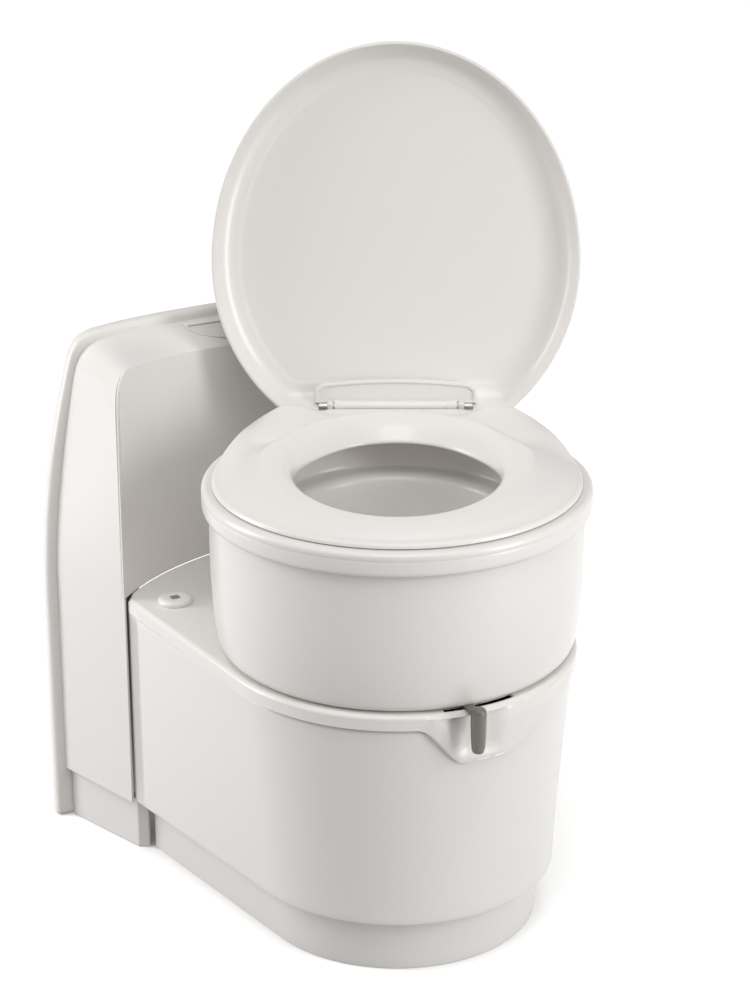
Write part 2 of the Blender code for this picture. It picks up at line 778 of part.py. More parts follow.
def build_seat(seat):
    """Ring lofted round the opening. It steps down under the hinge cover."""
    rings = []
    for i in range(STEPS):
        turn = 2 * math.pi * i / STEPS
        across, along = math.cos(turn), math.sin(turn)
        opening = seat_opening(turn)
        outer = seat_outline(turn)
        behind = smooth_step((along - 0.15) / 0.4)
        under_cover = smooth_step((along - math.sin(math.radians(58))) / 0.07)
        crest_z = 0.4965 + 0.0035 * (1 + along)
        crease = opening + (outer - opening) * (0.36 - 0.20 * behind)
        edge_z = SEAT_FOOT + 0.0055 + behind * (SHOULDER_TOP - SEAT_FOOT - 0.0055)
        edge_z += under_cover * (TONGUE_TOP - SHOULDER_TOP)
        middle = (crease + outer) / 2
        middle += under_cover * (0.156 / max(along, 0.5) - middle)
        middle_z = (crest_z + edge_z) / 2
        middle_z += under_cover * (TONGUE_TOP + 0.001 - middle_z)
        section = [
            (opening - 0.004, SEAT_FOOT + 0.004),
            (opening - 0.002, crest_z - 0.010),
            (opening + 0.006, crest_z - 0.001),
            (crease, crest_z),
            (middle, middle_z),
            (outer - 0.003, edge_z),
            (outer, edge_z - 0.0025),
            (outer, SEAT_FOOT),
            (opening + 0.004, SEAT_FOOT),
        ]
        rings.append([(r * across, r * along - HINGE_Y, z - HINGE_Z) for r, z in section])
    ring = place("seat_ring", to_mesh(loft(rings, wrap=True)), seat)
    for sign, side in ((-1, "left"), (1, "right")):
        low, high = sorted((sign * 0.0545, sign * 0.0655))
        arm = rod("seat_hinge_arm_" + side, 0.0066, low, high, "X", seat, look=(WHITE, 0.4))
        combine(arm, rod("seat_bore_cut_" + side, PIN_RADIUS + GAP, -0.1, 0.1, "X", seat))
    return ring


def build_seat_buffers(seat):
    rubber = ((0.55, 0.55, 0.54), 0.8)
    for x, y, name in ((0.120, -0.110, "front"), (0.130, 0.095, "rear")):
        for sign, side in ((-1, "left"), (1, "right")):
            low = RIM_TOP + 0.0008 - HINGE_Z
            item = rod(
                "seat_buffer_" + name + "_" + side,
                0.007,
                low,
                SEAT_FOOT - GAP - HINGE_Z,
                parent=seat,
                sides=12,
            )
            item.location = (sign * x, y - HINGE_Y, 0)
            dress(item, *rubber)


# Lid


def lid_outline(inset):
    """Oval cut straight behind the hinge. y runs from the hinge to the closed lid's front, which is negative."""
    points = []
    for i in range(STEPS):
        turn = 2 * math.pi * (i + 0.5) / STEPS
        length = LID_ROUND_BACK if math.sin(turn) > 0 else LID_WIDEST - LID_FRONT
        y = LID_WIDEST + (length - inset) * math.sin(turn)
        points.append(((LID_HALF_WIDTH - inset) * math.cos(turn), min(y, LID_BACK - inset)))
    return points


def build_lid(lid):
    top = LID_TOP
    foot = top - LID_DEPTH
    rings = [
        at_height(lid_outline(0.0), foot),
        at_height(lid_outline(0.0008), foot + 0.012),
        at_height(lid_outline(0.006), top - 0.004),
        at_height(lid_outline(0.016), top - 0.0005),
        at_height(lid_outline(0.090), top),
    ]
    bm = loft(rings)
    bm.faces.new(sorted(bm.verts, key=lambda vert: vert.index)[-STEPS:])
    shell = place("lid_shell", to_mesh(bm), lid)
    thicken(shell, THIN)
    half = HINGE_COVER_HALF_WIDTH + 2 * GAP
    combine(shell, box("lid_hinge_cut", (-half, -0.0125, -0.04), (half, 0.05, 0.05), lid))


def build_lid_fittings(lid):
    half = HINGE_COVER_HALF_WIDTH
    cover = box("hinge_cover", (-half, COVER_REACH, COVER_LOW), (half, COVER_BACK, COVER_HIGH), lid, 0.0015)
    for sign, side in ((-1, "left"), (1, "right")):
        low, far = sorted((sign * 0.0745, sign * 0.0815))
        arm = box(
            "lid_hinge_arm_" + side,
            (low, -0.0058, -0.0058),
            (far, 0.0058, 0.0058),
            lid,
            0.002,
            look=(WHITE, 0.4),
        )
        combine(arm, rod("lid_bore_cut_" + side, PIN_RADIUS + GAP, -0.1, 0.1, "X", lid))
        rubber = ((0.55, 0.55, 0.54), 0.8)
        item = rod(
            "lid_buffer_" + side, 0.006, 0.0110, LID_TOP - THIN - 0.0010, parent=lid, sides=12, look=rubber
        )
        item.location = (sign * 0.095, -0.300, 0)
    return cover


# Blade lever


def build_lever(lever):
    """Inner ring and arm below the cover, up through the slot, over the ledge to the knob."""
    taupe = ((0.13, 0.125, 0.115), 0.35)
    ring_low, ring_high = 0.2880, 0.2925
    outer, inner = 0.060, 0.050
    ring = turned(
        "lever_arm",
        [(outer, ring_high), (outer, ring_low), (inner, ring_low), (inner, ring_high)],
        parent=lever,
        steps=32,
        look=taupe,
    )
    stem_low, stem_high = 0.1735, 0.1785
    pieces = [
        box("lever_bar", (-0.006, -stem_high, ring_low + 0.0004), (0.006, -0.055, ring_high - 0.0004), lever),
        box("lever_stem", (-0.0055, -stem_high, ring_low + 0.0008), (0.0055, -stem_low, 0.3072), lever),
        box("lever_hook", (-0.005, -0.1945, 0.3038), (0.005, -stem_low - 0.0005, 0.3068), lever),
    ]
    for piece in pieces:
        combine(ring, piece, "UNION")
    knob_y = -KNOB_REACH
    profile = [
        (0.0, KNOB_TOP),
        (KNOB_RADIUS - 0.0025, KNOB_TOP),
        (KNOB_RADIUS - 0.0004, KNOB_TOP - 0.002),
        (KNOB_RADIUS, KNOB_TOP - 0.012),
        (KNOB_RADIUS - 0.0012, KNOB_FOOT + 0.004),
        (KNOB_RADIUS - 0.0030, KNOB_FOOT),
        (0.0, KNOB_FOOT),
    ]
    knob = turned(
        "lever_knob", profile, closed=False, parent=lever, steps=24, location=(0, knob_y, 0), look=taupe
    )
    combine(knob, box("knob_socket_cut", (-0.0053, -0.1948, 0.3035), (0.0053, -0.15, 0.3071), lever))


# Cassette


def build_rails():
    for sign, side in ((-1, "left"), (1, "right")):
        low, high = sorted((sign * 0.098, sign * 0.122))
        foot, top = SHELL + GAP, TANK_FOOT - GAP
        box(
            "guide_rail_" + side,
            (low, -0.050, foot),
            (high, 0.215, top),
            rounding=0.002,
            look=((0.3, 0.3, 0.31), 0.5),
        )


def build_tank(cassette):
    outline = rounded_box_outline(TANK_HALF_WIDTH, TANK_FRONT, TANK_BACK, 0.030)
    inside = rounded_box_outline(
        TANK_HALF_WIDTH - TANK_WALL, TANK_FRONT + TANK_WALL, SPOUT_SHELF[0] - TANK_WALL, 0.026, 4
    )
    below = rounded_box_outline(
        TANK_HALF_WIDTH - TANK_WALL, TANK_FRONT + TANK_WALL, TANK_BACK - TANK_WALL, 0.026, 4
    )
    dark = ((0.20, 0.21, 0.23), 0.45)
    tank = flat("waste_tank", [outline], TANK_FOOT, TANK_TOP, cassette, look=dark)
    shelf_y, shelf_z = SPOUT_SHELF
    combine(tank, box("spout_shelf_cut", (-0.2, shelf_y, shelf_z), (0.2, 0.4, 0.3), cassette))
    combine(tank, flat("tank_upper_cut", [inside], 0.180, TANK_TOP - TANK_WALL, cassette))
    combine(tank, flat("tank_lower_cut", [below], 0.075, shelf_z - TANK_WALL, cassette))
    combine(tank, rod("tank_mouth_cut", OUTLET_RADIUS, 0.24, 0.27, parent=cassette, sides=STEPS))
    combine(tank, rod("spout_mouth_cut", 0.018, 0.20, 0.22, parent=cassette, location=(*SPOUT_AT, 0)))
    x, y = WHEEL_AT
    for sign, side in ((-1, "left"), (1, "right")):
        half = WHEEL_WIDTH / 2 + RUN_GAP
        room = WHEEL_RADIUS + RUN_GAP
        low, high = sign * x - half, sign * x + half
        combine(tank, box("wheel_room_cut_" + side, (low, y - room, 0.03), (high, y + 0.05, 0.068), cassette))
    axle_bore = rod("axle_bore_cut", 0.0043, -0.2, 0.2, "X", cassette, location=(0, y, WHEEL_Z))
    combine(tank, axle_bore)
    vent_bore = rod(
        "vent_bore_cut", VENT_RADIUS + RUN_GAP / 2, 0.24, 0.27, parent=cassette, location=(*VENT_AT, 0)
    )
    combine(tank, vent_bore)
    for sign, side in ((-1, "left"), (1, "right")):
        low, high = sorted((sign * (GRIP_HALF + 0.0055), sign * (GRIP_HALF + 0.0120)))
        lug = box(
            "grip_lug_" + side,
            (low, TANK_BACK - 0.002, GRIP_Z - 0.008),
            (high, TANK_BACK + 0.0145, GRIP_Z + 0.008),
            cassette,
        )
        combine(tank, lug, "UNION")
    grip_bore = rod(
        "grip_bore_cut",
        GRIP_WIRE + GAP * 2,
        -0.1,
        0.1,
        "X",
        cassette,
        location=(0, TANK_BACK + 0.0075, GRIP_Z),
    )
    combine(tank, grip_bore)


def build_blade_housing(cassette):
    """Flat case on the tank's top. The blade turns in its slot, and two ribs guide the sliding cover."""
    low, high = TANK_TOP + GAP, BLADE_HOUSING_TOP
    case = box(
        "blade_housing", (-0.060, -0.056, low), (0.090, 0.136, high), cassette, look=((0.15, 0.15, 0.16), 0.5)
    )
    for sign, side in ((-1, "left"), (1, "right")):
        inner, outer = sorted((sign * 0.0545, sign * 0.0590))
        combine(
            case,
            box("cover_rib_" + side, (inner, -0.054, high - 0.002), (outer, 0.134, 0.2775), cassette),
            "UNION",
        )
    combine(case, box("blade_slot_cut", (-0.054, -0.050, 0.2603), (0.2, 0.131, 0.2645), cassette))
    combine(case, rod("blade_mouth_cut", OUTLET_RADIUS, 0.2, 0.3, parent=cassette, sides=STEPS))
    combine(case, rod("blade_pivot_cut", 0.0045, 0.262, 0.3, parent=cassette, location=(*BLADE_PIVOT, 0)))


def build_blade(blade):
    """Round gate on a pivot arm, modelled shut and turned to where it rests."""
    px, py = BLADE_PIVOT
    low, high = 0.2609, 0.2639
    steel = ((0.2, 0.2, 0.2), 0.4)
    gate = rod("valve_blade", 0.0430, low, high, parent=blade, sides=40, look=steel)
    gate.data.transform(shift(-px, -py, 0))
    reach = math.hypot(px, py)
    heading = math.atan2(-py, -px)
    bm = bmesh.new()
    bmesh.ops.create_cube(bm, size=1)
    bmesh.ops.scale(bm, vec=(reach, 0.020, high - low - 0.0006), verts=bm.verts)
    bmesh.ops.translate(bm, vec=(reach / 2, 0, (low + high) / 2), verts=bm.verts)
    bmesh.ops.rotate(bm, cent=(0, 0, 0), matrix=turn_z(heading), verts=bm.verts)
    combine(gate, place("blade_arm", to_mesh(bm, smooth=False), blade), "UNION")
    combine(gate, rod("blade_boss", 0.0100, low + 0.0001, high - 0.0001, parent=blade), "UNION")
    combine(gate, rod("blade_shaft", 0.0038, low + 0.0005, 0.2720, parent=blade, sides=16), "UNION")


def build_cassette_fittings(cassette):
    rubber = ((0.04, 0.04, 0.04), 0.7)
    low = BLADE_HOUSING_TOP + GAP
    turned(
        "cassette_lip_seal",
        [(0.044, 0.2715), (0.046, low), (OUTLET_RADIUS, low), (OUTLET_RADIUS + 0.001, 0.2722)],
        parent=cassette,
        look=rubber,
    )
    axle_steel = ((0.6, 0.6, 0.62), 0.3, 1.0)
    x, y = WHEEL_AT
    end = x + WHEEL_WIDTH / 2 + 0.010
    rod("wheel_axle", 0.0040, -end, end, "X", cassette, 16, location=(0, y, WHEEL_Z), look=axle_steel)


def build_wheels(cassette):
    x, y = WHEEL_AT
    black = ((0.05, 0.05, 0.05), 0.6)
    half = WHEEL_WIDTH / 2
    for sign, side in ((-1, "left"), (1, "right")):
        spin = empty("wheel_axis_" + side, (sign * x, y, WHEEL_Z), (0, math.pi / 2, 0), cassette)
        profile = [
            (WHEEL_RADIUS - 0.002, half),
            (WHEEL_RADIUS, half - 0.002),
            (WHEEL_RADIUS, 0.002 - half),
            (WHEEL_RADIUS - 0.002, -half),
            (0.0045, -half),
            (0.0045, half),
        ]
        turned("cassette_wheel_" + side, profile, parent=spin, steps=28, look=black)


def build_sliding_cover(slide):
    grey = ((0.25, 0.26, 0.28), 0.4)
    box("sliding_cover", (-0.0535, 0.047, 0.2728), (0.0535, 0.145, 0.2755), slide, look=grey)


def build_spout(spout, cap):
    """Elbow that swivels on the tank, with a screw cap on its end."""
    dark = ((0.20, 0.21, 0.23), 0.45)
    foot = SPOUT_SHELF[1] + GAP
    body = rod("pour_spout", SPOUT_RADIUS, -SPOUT_LENGTH, 0.020, "X", spout, 28, look=dark)
    body.data.transform(shift(0, 0, SPOUT_Z))
    stand = rod("spout_stand", 0.0215, foot, SPOUT_Z, parent=spout, sides=28)
    combine(body, stand, "UNION")
    bore = rod("spout_bore_cut", SPOUT_RADIUS - 0.003, -0.3, 0.015, "X", spout, 28)
    bore.data.transform(shift(0, 0, SPOUT_Z))
    combine(body, bore)
    combine(body, rod("spout_stand_bore_cut", 0.0175, 0.2, SPOUT_Z, parent=spout, sides=28))
    outer = SPOUT_RADIUS + 0.003
    profile = [
        (0.0, 0.005),
        (outer - 0.001, 0.005),
        (outer, 0.004),
        (outer, -0.014),
        (SPOUT_RADIUS + RUN_GAP / 2, -0.014),
        (SPOUT_RADIUS + RUN_GAP / 2, 0.0),
        (0.0, 0.0),
    ]
    black = ((0.05, 0.05, 0.05), 0.4)
    turned("spout_cap", profile, closed=False, parent=cap, steps=28, look=black)


def build_vent_button(slide):
    red = ((0.35, 0.08, 0.05), 0.4)
    rod("vent_button", VENT_RADIUS, TANK_TOP - 0.0035, TANK_TOP + 0.0100, parent=slide, sides=24, look=red)


def build_float(hinge):
    """Level float on an arm inside the tank."""
    yellow = ((0.6, 0.55, 0.2), 0.5)
    item = box("level_float", (-0.022, -0.090, -0.012), (0.022, -0.045, 0.010), hinge, 0.003, look=yellow)
    combine(item, box("float_arm", (-0.004, -0.050, -0.0025), (0.004, 0.0, 0.0025), hinge), "UNION")
    combine(item, rod("float_pivot", 0.0040, -0.010, 0.010, "X", hinge, 12), "UNION")


def build_grip(hinge):
    """Fold-out carrying bail on the cassette's outer end."""
    black = ((0.05, 0.05, 0.05), 0.5)
    half, drop, radius = GRIP_HALF, 0.055, 0.018
    route = [(-half - 0.0105, 0, 0), (-half - 0.002, 0, 0), (-half, 0, -0.002), (-half, 0, -drop + radius)]
    route += [(-half + radius - x, 0, -drop + radius - y) for x, y in arc(radius, 0, math.pi / 2, 4)][1:]
    route += [(-x, y, z) for x, y, z in reversed(route)]
    tube("carry_grip", route, GRIP_WIRE, hinge, look=black)


def build_latch(latch):
    """Latch behind the cassette's foot, modelled locked and lowered to where it lets the cassette out."""
    red = ((0.35, 0.08, 0.05), 0.45)
    item = box("cassette_latch", (-0.020, -0.006, -0.0025), (0.020, 0.052, 0.0025), latch, 0.001, look=red)
    combine(item, box("latch_hook", (-0.018, 0.0290, -0.001), (0.018, 0.0350, 0.0345), latch), "UNION")


def main():
    for item in list(bpy.data.objects):
        bpy.data.objects.remove(item, do_unlink=True)
    bpy.context.scene.collection.children.link(parts)
    bpy.context.scene.collection.children.link(cutters)
    build_floor_pan()
    build_plinth()
    build_housing()
    build_top_cover()
    build_turntable()
    build_console_housing()
    build_panel()
    build_flange()
    build_console_plinths()
    build_level_indicator()
    build_water_supply()
    build_floor_screws()
    build_rails()

    bowl = empty("bowl_axis", rotation=(0, 0, BOWL_TURN))
    build_drum(bowl)
    build_bowl(bowl)
    build_neck_seal(bowl)
    build_nozzle(bowl)
    build_hinge(bowl)
    seat = empty("seat_hinge", (0, HINGE_Y, HINGE_Z), parent=bowl)
    build_seat(seat)
    build_seat_buffers(seat)
    lid = empty("lid_hinge", (0, HINGE_Y, HINGE_Z), (-LID_OPEN, 0, 0), bowl)
    build_lid(lid)
    build_lid_fittings(lid)

    build_lever(empty("lever_axis", rotation=(0, 0, LEVER_TURN)))

    cassette = empty("cassette_slide")
    build_tank(cassette)
    build_blade_housing(cassette)
    build_blade(empty("blade_axis", (*BLADE_PIVOT, 0), (0, 0, BLADE_AT_REST), cassette))
    build_cassette_fittings(cassette)
    build_wheels(cassette)
    build_sliding_cover(empty("cover_slide", parent=cassette))
    spout = empty("spout_axis", (*SPOUT_AT, 0), parent=cassette)
    cap = empty("cap_axis", (-SPOUT_LENGTH - GAP, 0, SPOUT_Z), (0, -math.pi / 2, 0), spout)
    build_spout(spout, cap)
    build_vent_button(empty("vent_slide", (*VENT_AT, 0), parent=cassette))
    build_float(empty("float_hinge", (-0.060, 0.170, 0.180), parent=cassette))
    build_grip(empty("grip_hinge", (0, TANK_BACK + 0.0075, GRIP_Z), parent=cassette))
    build_latch(empty("latch_hinge", (0, 0.2950, 0.0150), (-LATCH_LIFT, 0, 0)))


main()
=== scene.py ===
"""Cassette toilet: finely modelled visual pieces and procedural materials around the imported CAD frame."""

import json
import math

import bmesh
import bpy
from mathutils import Matrix, Vector


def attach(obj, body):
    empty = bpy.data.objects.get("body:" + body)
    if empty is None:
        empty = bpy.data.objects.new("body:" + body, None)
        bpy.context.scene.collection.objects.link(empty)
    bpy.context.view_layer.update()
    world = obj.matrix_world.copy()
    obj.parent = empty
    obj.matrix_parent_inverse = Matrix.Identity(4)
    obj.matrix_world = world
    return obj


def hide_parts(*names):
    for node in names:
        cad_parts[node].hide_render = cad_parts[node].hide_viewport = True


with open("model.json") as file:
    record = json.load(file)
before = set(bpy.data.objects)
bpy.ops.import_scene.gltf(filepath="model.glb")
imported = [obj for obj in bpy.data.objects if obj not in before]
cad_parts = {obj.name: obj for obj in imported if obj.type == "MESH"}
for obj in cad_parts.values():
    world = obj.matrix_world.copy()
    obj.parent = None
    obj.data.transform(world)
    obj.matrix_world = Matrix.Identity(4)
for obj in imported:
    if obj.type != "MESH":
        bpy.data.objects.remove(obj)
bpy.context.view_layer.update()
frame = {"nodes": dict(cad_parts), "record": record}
nodes = frame["nodes"]

# Sizes and places in metres, the same as in the CAD part. Z is the height above the floor.
GAP = 0.0002
PLINTH_TOP = 0.060
HOUSING_TOP = 0.287
LEDGE_TOP = 0.303
DRUM_TOP = 0.455
RIM_TOP = 0.4745
CONSOLE_TOP = 0.577

# Console, against the wall
WALL_Y = 0.350
FLANGE_DEPTH = 0.018
FLANGE_HALF_WIDTH = 0.260
CONSOLE_RADIUS = 0.306
CONSOLE_HALF_FRONT = 0.2135
CONSOLE_HALF_BACK = 0.2485
TUNNEL_HALF_WIDTH = 0.150
TUNNEL_TOP = 0.286

# Base: each outline is a round front of one radius, with straight sides back to a corner
BASE_CORNER = (0.2093, 0.2190)
LEDGE_RADIUS = 0.186
HOUSING_RADIUS_TOP = 0.183
HOUSING_RADIUS_FOOT = 0.1665
PLINTH_RADIUS = 0.149
PLINTH_CORNER = (0.188, 0.2175)
TURNTABLE_RADIUS = 0.150
APRON_DROP = 0.041
APRON_PROUD = 0.0022
SCOOP_DEPTH = 0.0050
SIDE_REACH = 0.19

# Lever slot and knob, in the apron
SLOT_HALF_ANGLE = math.radians(12.6)
SLOT_INNER = 0.1715
SLOT_OUTER = 0.1805
KNOB_RADIUS = 0.0078
KNOB_FOOT = 0.266
KNOB_TOP = 0.314
KNOB_REACH = 0.2035

# Bowl
DRUM_RADIUS = 0.1902
RIM_RADIUS = 0.1945
OUTLET_RADIUS = 0.036
NECK_FOOT = 0.2765

# Seat: an oval opening (half width, front length, back length) in a round ring with shoulders
HINGE_Y = 0.190
HINGE_Z = 0.490
SEAT_RADIUS = 0.187
SEAT_FOOT = 0.4785
SEAT_CREST = 0.4965
SEAT_OPENING = (0.110, 0.140, 0.118)
SEAT_BACK = 0.176
TONGUE_BACK = 0.1828
TONGUE_TOP = 0.4905
SHOULDER_TOP = 0.4965
SHOULDER = ((0.1700, 0.0780), (0.1420, 0.1500), (0.1250, 0.1760))
SHOULDER_START = math.atan2(SHOULDER[0][1], SHOULDER[0][0])

# Lid, measured from the hinge with the lid shut
LID_HALF_WIDTH = 0.1965
LID_WIDEST = -0.155
LID_FRONT = -0.386
LID_BACK = 0.006
LID_ROUND_BACK = 0.2045
LID_DEPTH = 0.027
LID_TOP = 0.023
HINGE_COVER_HALF_WIDTH = 0.082
COVER_REACH = -0.0330
COVER_BACK = -0.0062
COVER_LOW = 0.0035
COVER_HIGH = 0.0192

# How far the visible hinge cover stands past its CAD solid, and the barrel that fills the gap below it
COVER_WIDER = 0.0050
COVER_SHORTER = 0.0050
COVER_DEEPER = 0.0040
BARREL_RADIUS = 0.0060
BARREL_HALF_WIDTH = 0.0600

# Level indicator on the ledge, and control panel on the console's slope
LEVEL_AT = (-0.167, 0.190)
PANEL_AT = (0, 0.3176, 0.5521)
PANEL_TILT = math.radians(47)
PANEL_HALF_LENGTH = 0.092
PANEL_HALF_DEPTH = 0.0135
BUTTON_HOLE_RADIUS = 0.0062

# How the moving bodies stand at rest, in degrees
BOWL_TURN = -27.0
LID_TURN = -101.0
LEVER_TURN = -4.5

IN_TOILET = Matrix.Identity(4)
IN_BOWL = Matrix.Rotation(math.radians(BOWL_TURN), 4, "Z")
IN_SEAT = IN_BOWL @ Matrix.Translation((0, HINGE_Y, HINGE_Z))
IN_LID = IN_SEAT @ Matrix.Rotation(math.radians(LID_TURN), 4, "X")
IN_LEVER = Matrix.Rotation(math.radians(LEVER_TURN), 4, "Z")
IN_PANEL = Matrix.Translation(PANEL_AT) @ Matrix.Rotation(PANEL_TILT, 4, "X")

# Studio
FLOOR_DROP = 0.0006
SUNS = (("top_light", 0.75, (18, -14, 0)), ("floor_light", 1.7, (0, 0, 0)))
BOXES = (
    ("left_box", (-1.75, 1.10, 1.0), (0.9, 1.7), 27.0),
    ("right_box", (1.15, -1.75, 0.9), (0.7, 1.7), 25.0),
    ("high_box", (-0.45, -0.95, 2.6), (1.2, 0.8), 9.0),
)
AIM = Vector((0, 0.05, 0.32))
CAMERA_AT = (-1.13138, -2.17155, 1.41030)
CAMERA_FORWARD = Vector((0.42298, 0.83014, -0.36325))
LENS = 93.6


# Materials


def add_node(tree, kind, **inputs):
    """A new node, with the named inputs set. An underscore in a name stands for a space."""
    made = tree.nodes.new(kind)
    for socket, value in inputs.items():
        made.inputs[socket.replace("_", " ")].default_value = value
    return made


def material(name, colour, roughness, vary=0.03, grain=400.0, bump=0.04, mottle=18.0, **sockets):
    """Procedural finish: a soft drift of colour and roughness, and a fine moulded grain."""
    made = bpy.data.materials.new(name)
    made.use_nodes = True
    tree = made.node_tree
    tree.nodes.clear()
    link = tree.links.new
    output = add_node(tree, "ShaderNodeOutputMaterial")
    shader = add_node(tree, "ShaderNodeBsdfPrincipled", **sockets)
    link(shader.outputs["BSDF"], output.inputs["Surface"])
    place = add_node(tree, "ShaderNodeTexCoord")
    drift = add_node(tree, "ShaderNodeTexNoise", Scale=mottle, Detail=1.0)
    link(place.outputs["Object"], drift.inputs["Vector"])
    ramp = add_node(tree, "ShaderNodeValToRGB")
    ramp.color_ramp.interpolation = "B_SPLINE"
    dark, light = ramp.color_ramp.elements
    dark.position, light.position = 0.15, 0.85
    dark.color = (*[c * (1 - vary) for c in colour], 1)
    light.color = (*[min(1, c * (1 + vary)) for c in colour], 1)
    link(drift.outputs["Fac"], ramp.inputs["Fac"])
    link(ramp.outputs["Color"], shader.inputs["Base Color"])
    ends = {"To_Min": roughness * 0.94, "To_Max": min(1, roughness * 1.06)}
    spread = add_node(tree, "ShaderNodeMapRange", From_Min=0.10, From_Max=0.90, **ends)
    spread.interpolation_type = "SMOOTHERSTEP"
    link(drift.outputs["Fac"], spread.inputs["Value"])
    link(spread.outputs["Result"], shader.inputs["Roughness"])
    fine = add_node(tree, "ShaderNodeTexNoise", Scale=grain, Detail=2.0)
    link(place.outputs["Object"], fine.inputs["Vector"])
    relief = add_node(tree, "ShaderNodeBump", Strength=bump, Distance=0.0004)
    link(fine.outputs["Fac"], relief.inputs["Height"])
    link(relief.outputs["Normal"], shader.inputs["Normal"])
    return made


# One finish for each material slot of the part, as arguments of material()
FINISHES = {
    "white_shell": dict(
        colour=(0.780, 0.757, 0.733),
        roughness=0.31,
        vary=0.004,
        grain=260,
        bump=0.015,
        mottle=5.0,
        Coat_Weight=0.25,
        Coat_Roughness=0.12,
    ),
    "white_fitting": dict(colour=(0.765, 0.742, 0.718), roughness=0.36, vary=0.010, grain=600),
    "grey_pan": dict(colour=(0.52, 0.51, 0.49), roughness=0.55, vary=0.04, bump=0.12),
    "taupe_lever": dict(colour=(0.150, 0.135, 0.115), roughness=0.34, vary=0.05, bump=0.06, Coat_Weight=0.2),
    "dark_tank": dict(colour=(0.085, 0.092, 0.105), roughness=0.48, vary=0.08, grain=260, bump=0.16),
    "black_plastic": dict(colour=(0.022, 0.022, 0.024), roughness=0.42, vary=0.12, grain=320, bump=0.12),
    "red_plastic": dict(colour=(0.36, 0.045, 0.025), roughness=0.36, vary=0.06, bump=0.08),
    "black_rubber": dict(colour=(0.018, 0.018, 0.019), roughness=0.72, vary=0.15, grain=700, bump=0.2),
    "grey_rubber": dict(colour=(0.30, 0.30, 0.29), roughness=0.72, vary=0.06, grain=700, bump=0.15),
    "steel": dict(colour=(0.56, 0.56, 0.57), roughness=0.26, vary=0.05, grain=900, bump=0.05, Metallic=1.0),
    "blue_hose": dict(colour=(0.035, 0.09, 0.30), roughness=0.38, vary=0.08, grain=300, bump=0.1),
    "green_board": dict(colour=(0.02, 0.13, 0.05), roughness=0.42, vary=0.18, mottle=140, bump=0.2),
    "green_flag": dict(colour=(0.10, 0.36, 0.03), roughness=0.35, vary=0.06, bump=0.06),
    "yellow_float": dict(colour=(0.52, 0.40, 0.10), roughness=0.55, vary=0.06, grain=300, bump=0.15),
    "clear_window": dict(
        colour=(0.80, 0.84, 0.80), roughness=0.08, vary=0.02, bump=0.02, Transmission_Weight=0.92, IOR=1.49
    ),
    "dark_lens": dict(colour=(0.012, 0.012, 0.014), roughness=0.10, vary=0.1, bump=0.02, Coat_Weight=0.5),
}
LOOKS = {name: material(name, **finish) for name, finish in FINISHES.items()}


# Mesh helpers


def arc(radius, start, end, count):
    """Points along a circle, from one angle to another."""
    turns = [start + (end - start) * i / count for i in range(count + 1)]
    return [(radius * math.cos(t), radius * math.sin(t)) for t in turns]


def cubic(start, pull_start, pull_end, end, count):
    """Points along a Bezier curve, without its start."""
    found = []
    for i in range(1, count + 1):
        t = i / count
        weights = ((1 - t) ** 3, 3 * t * (1 - t) ** 2, 3 * t * t * (1 - t), t**3)
        ends = (start, pull_start, pull_end, end)
        found.append(tuple(sum(w * p[k] for w, p in zip(weights, ends)) for k in range(2)))
    return found


def smooth_step(value):
    """Rises softly from 0 to 1 as the value does, and stays level beyond."""
    value = min(max(value, 0), 1)
    return value * value * (3 - 2 * value)


def flow(points, count=4):
    """A smooth line through points: a Catmull-Rom curve with count steps to each span."""
    padded = [points[0]] + list(points) + [points[-1]]
    found = []
    for near in zip(padded, padded[1:], padded[2:], padded[3:]):
        for i in range(count):
            t = i / count
            before, after = 2 * t * t - t - t**3, t**3 - t * t
            weights = (before, 2 - 5 * t * t + 3 * t**3, t + 4 * t * t - 3 * t**3, after)
            found.append(tuple(0.5 * sum(w * p[k] for w, p in zip(weights, near)) for k in range(2)))
    return found + [tuple(points[-1])]


def mirrored(points):
    """The points again on the other side of the middle, running back."""
    return [(-x, z) for x, z in reversed(points)]


def at_height(outline, z):
    return [(x, y, z) for x, y in outline]


def skin(rows, around=True, wrap=False, first_cap=False, last_cap=False):
    """Quads between rows of points. around closes each row, and wrap joins the last row to the first."""
    bm = bmesh.new()
    verts = [[bm.verts.new(point) for point in row] for row in rows]
    pairs = list(zip(verts, verts[1:])) + ([(verts[-1], verts[0])] if wrap else [])
    count = len(rows[0])
    for low, high in pairs:
        for i in range(count if around else count - 1):
            j = (i + 1) % count
            bm.faces.new((low[i], low[j], high[j], high[i]))
    if first_cap:
        bm.faces.new(verts[0])
    if last_cap:
        bm.faces.new(verts[-1])
    return bm


def piece(name, bm, place=IN_TOILET):
    """The mesh as a smooth-shaded object, with doubled points merged and its faces turned outward."""
    bmesh.ops.remove_doubles(bm, verts=bm.verts, dist=0.00001)
    bmesh.ops.recalc_face_normals(bm, faces=bm.faces)
    bm.transform(place)
    mesh = bpy.data.meshes.new(name)
    bm.to_mesh(mesh)
    bm.free()
    for face in mesh.polygons:
        face.use_smooth = True
    made = bpy.data.objects.new(name, mesh)
    bpy.context.scene.collection.objects.link(made)
    return made


def settle(item):
    """Makes the modifiers' result the mesh itself."""
    bpy.context.view_layer.update()
    graph = bpy.context.evaluated_depsgraph_get()
    mesh = bpy.data.meshes.new_from_object(item.evaluated_get(graph))
    item.modifiers.clear()
    item.data = mesh
    return item


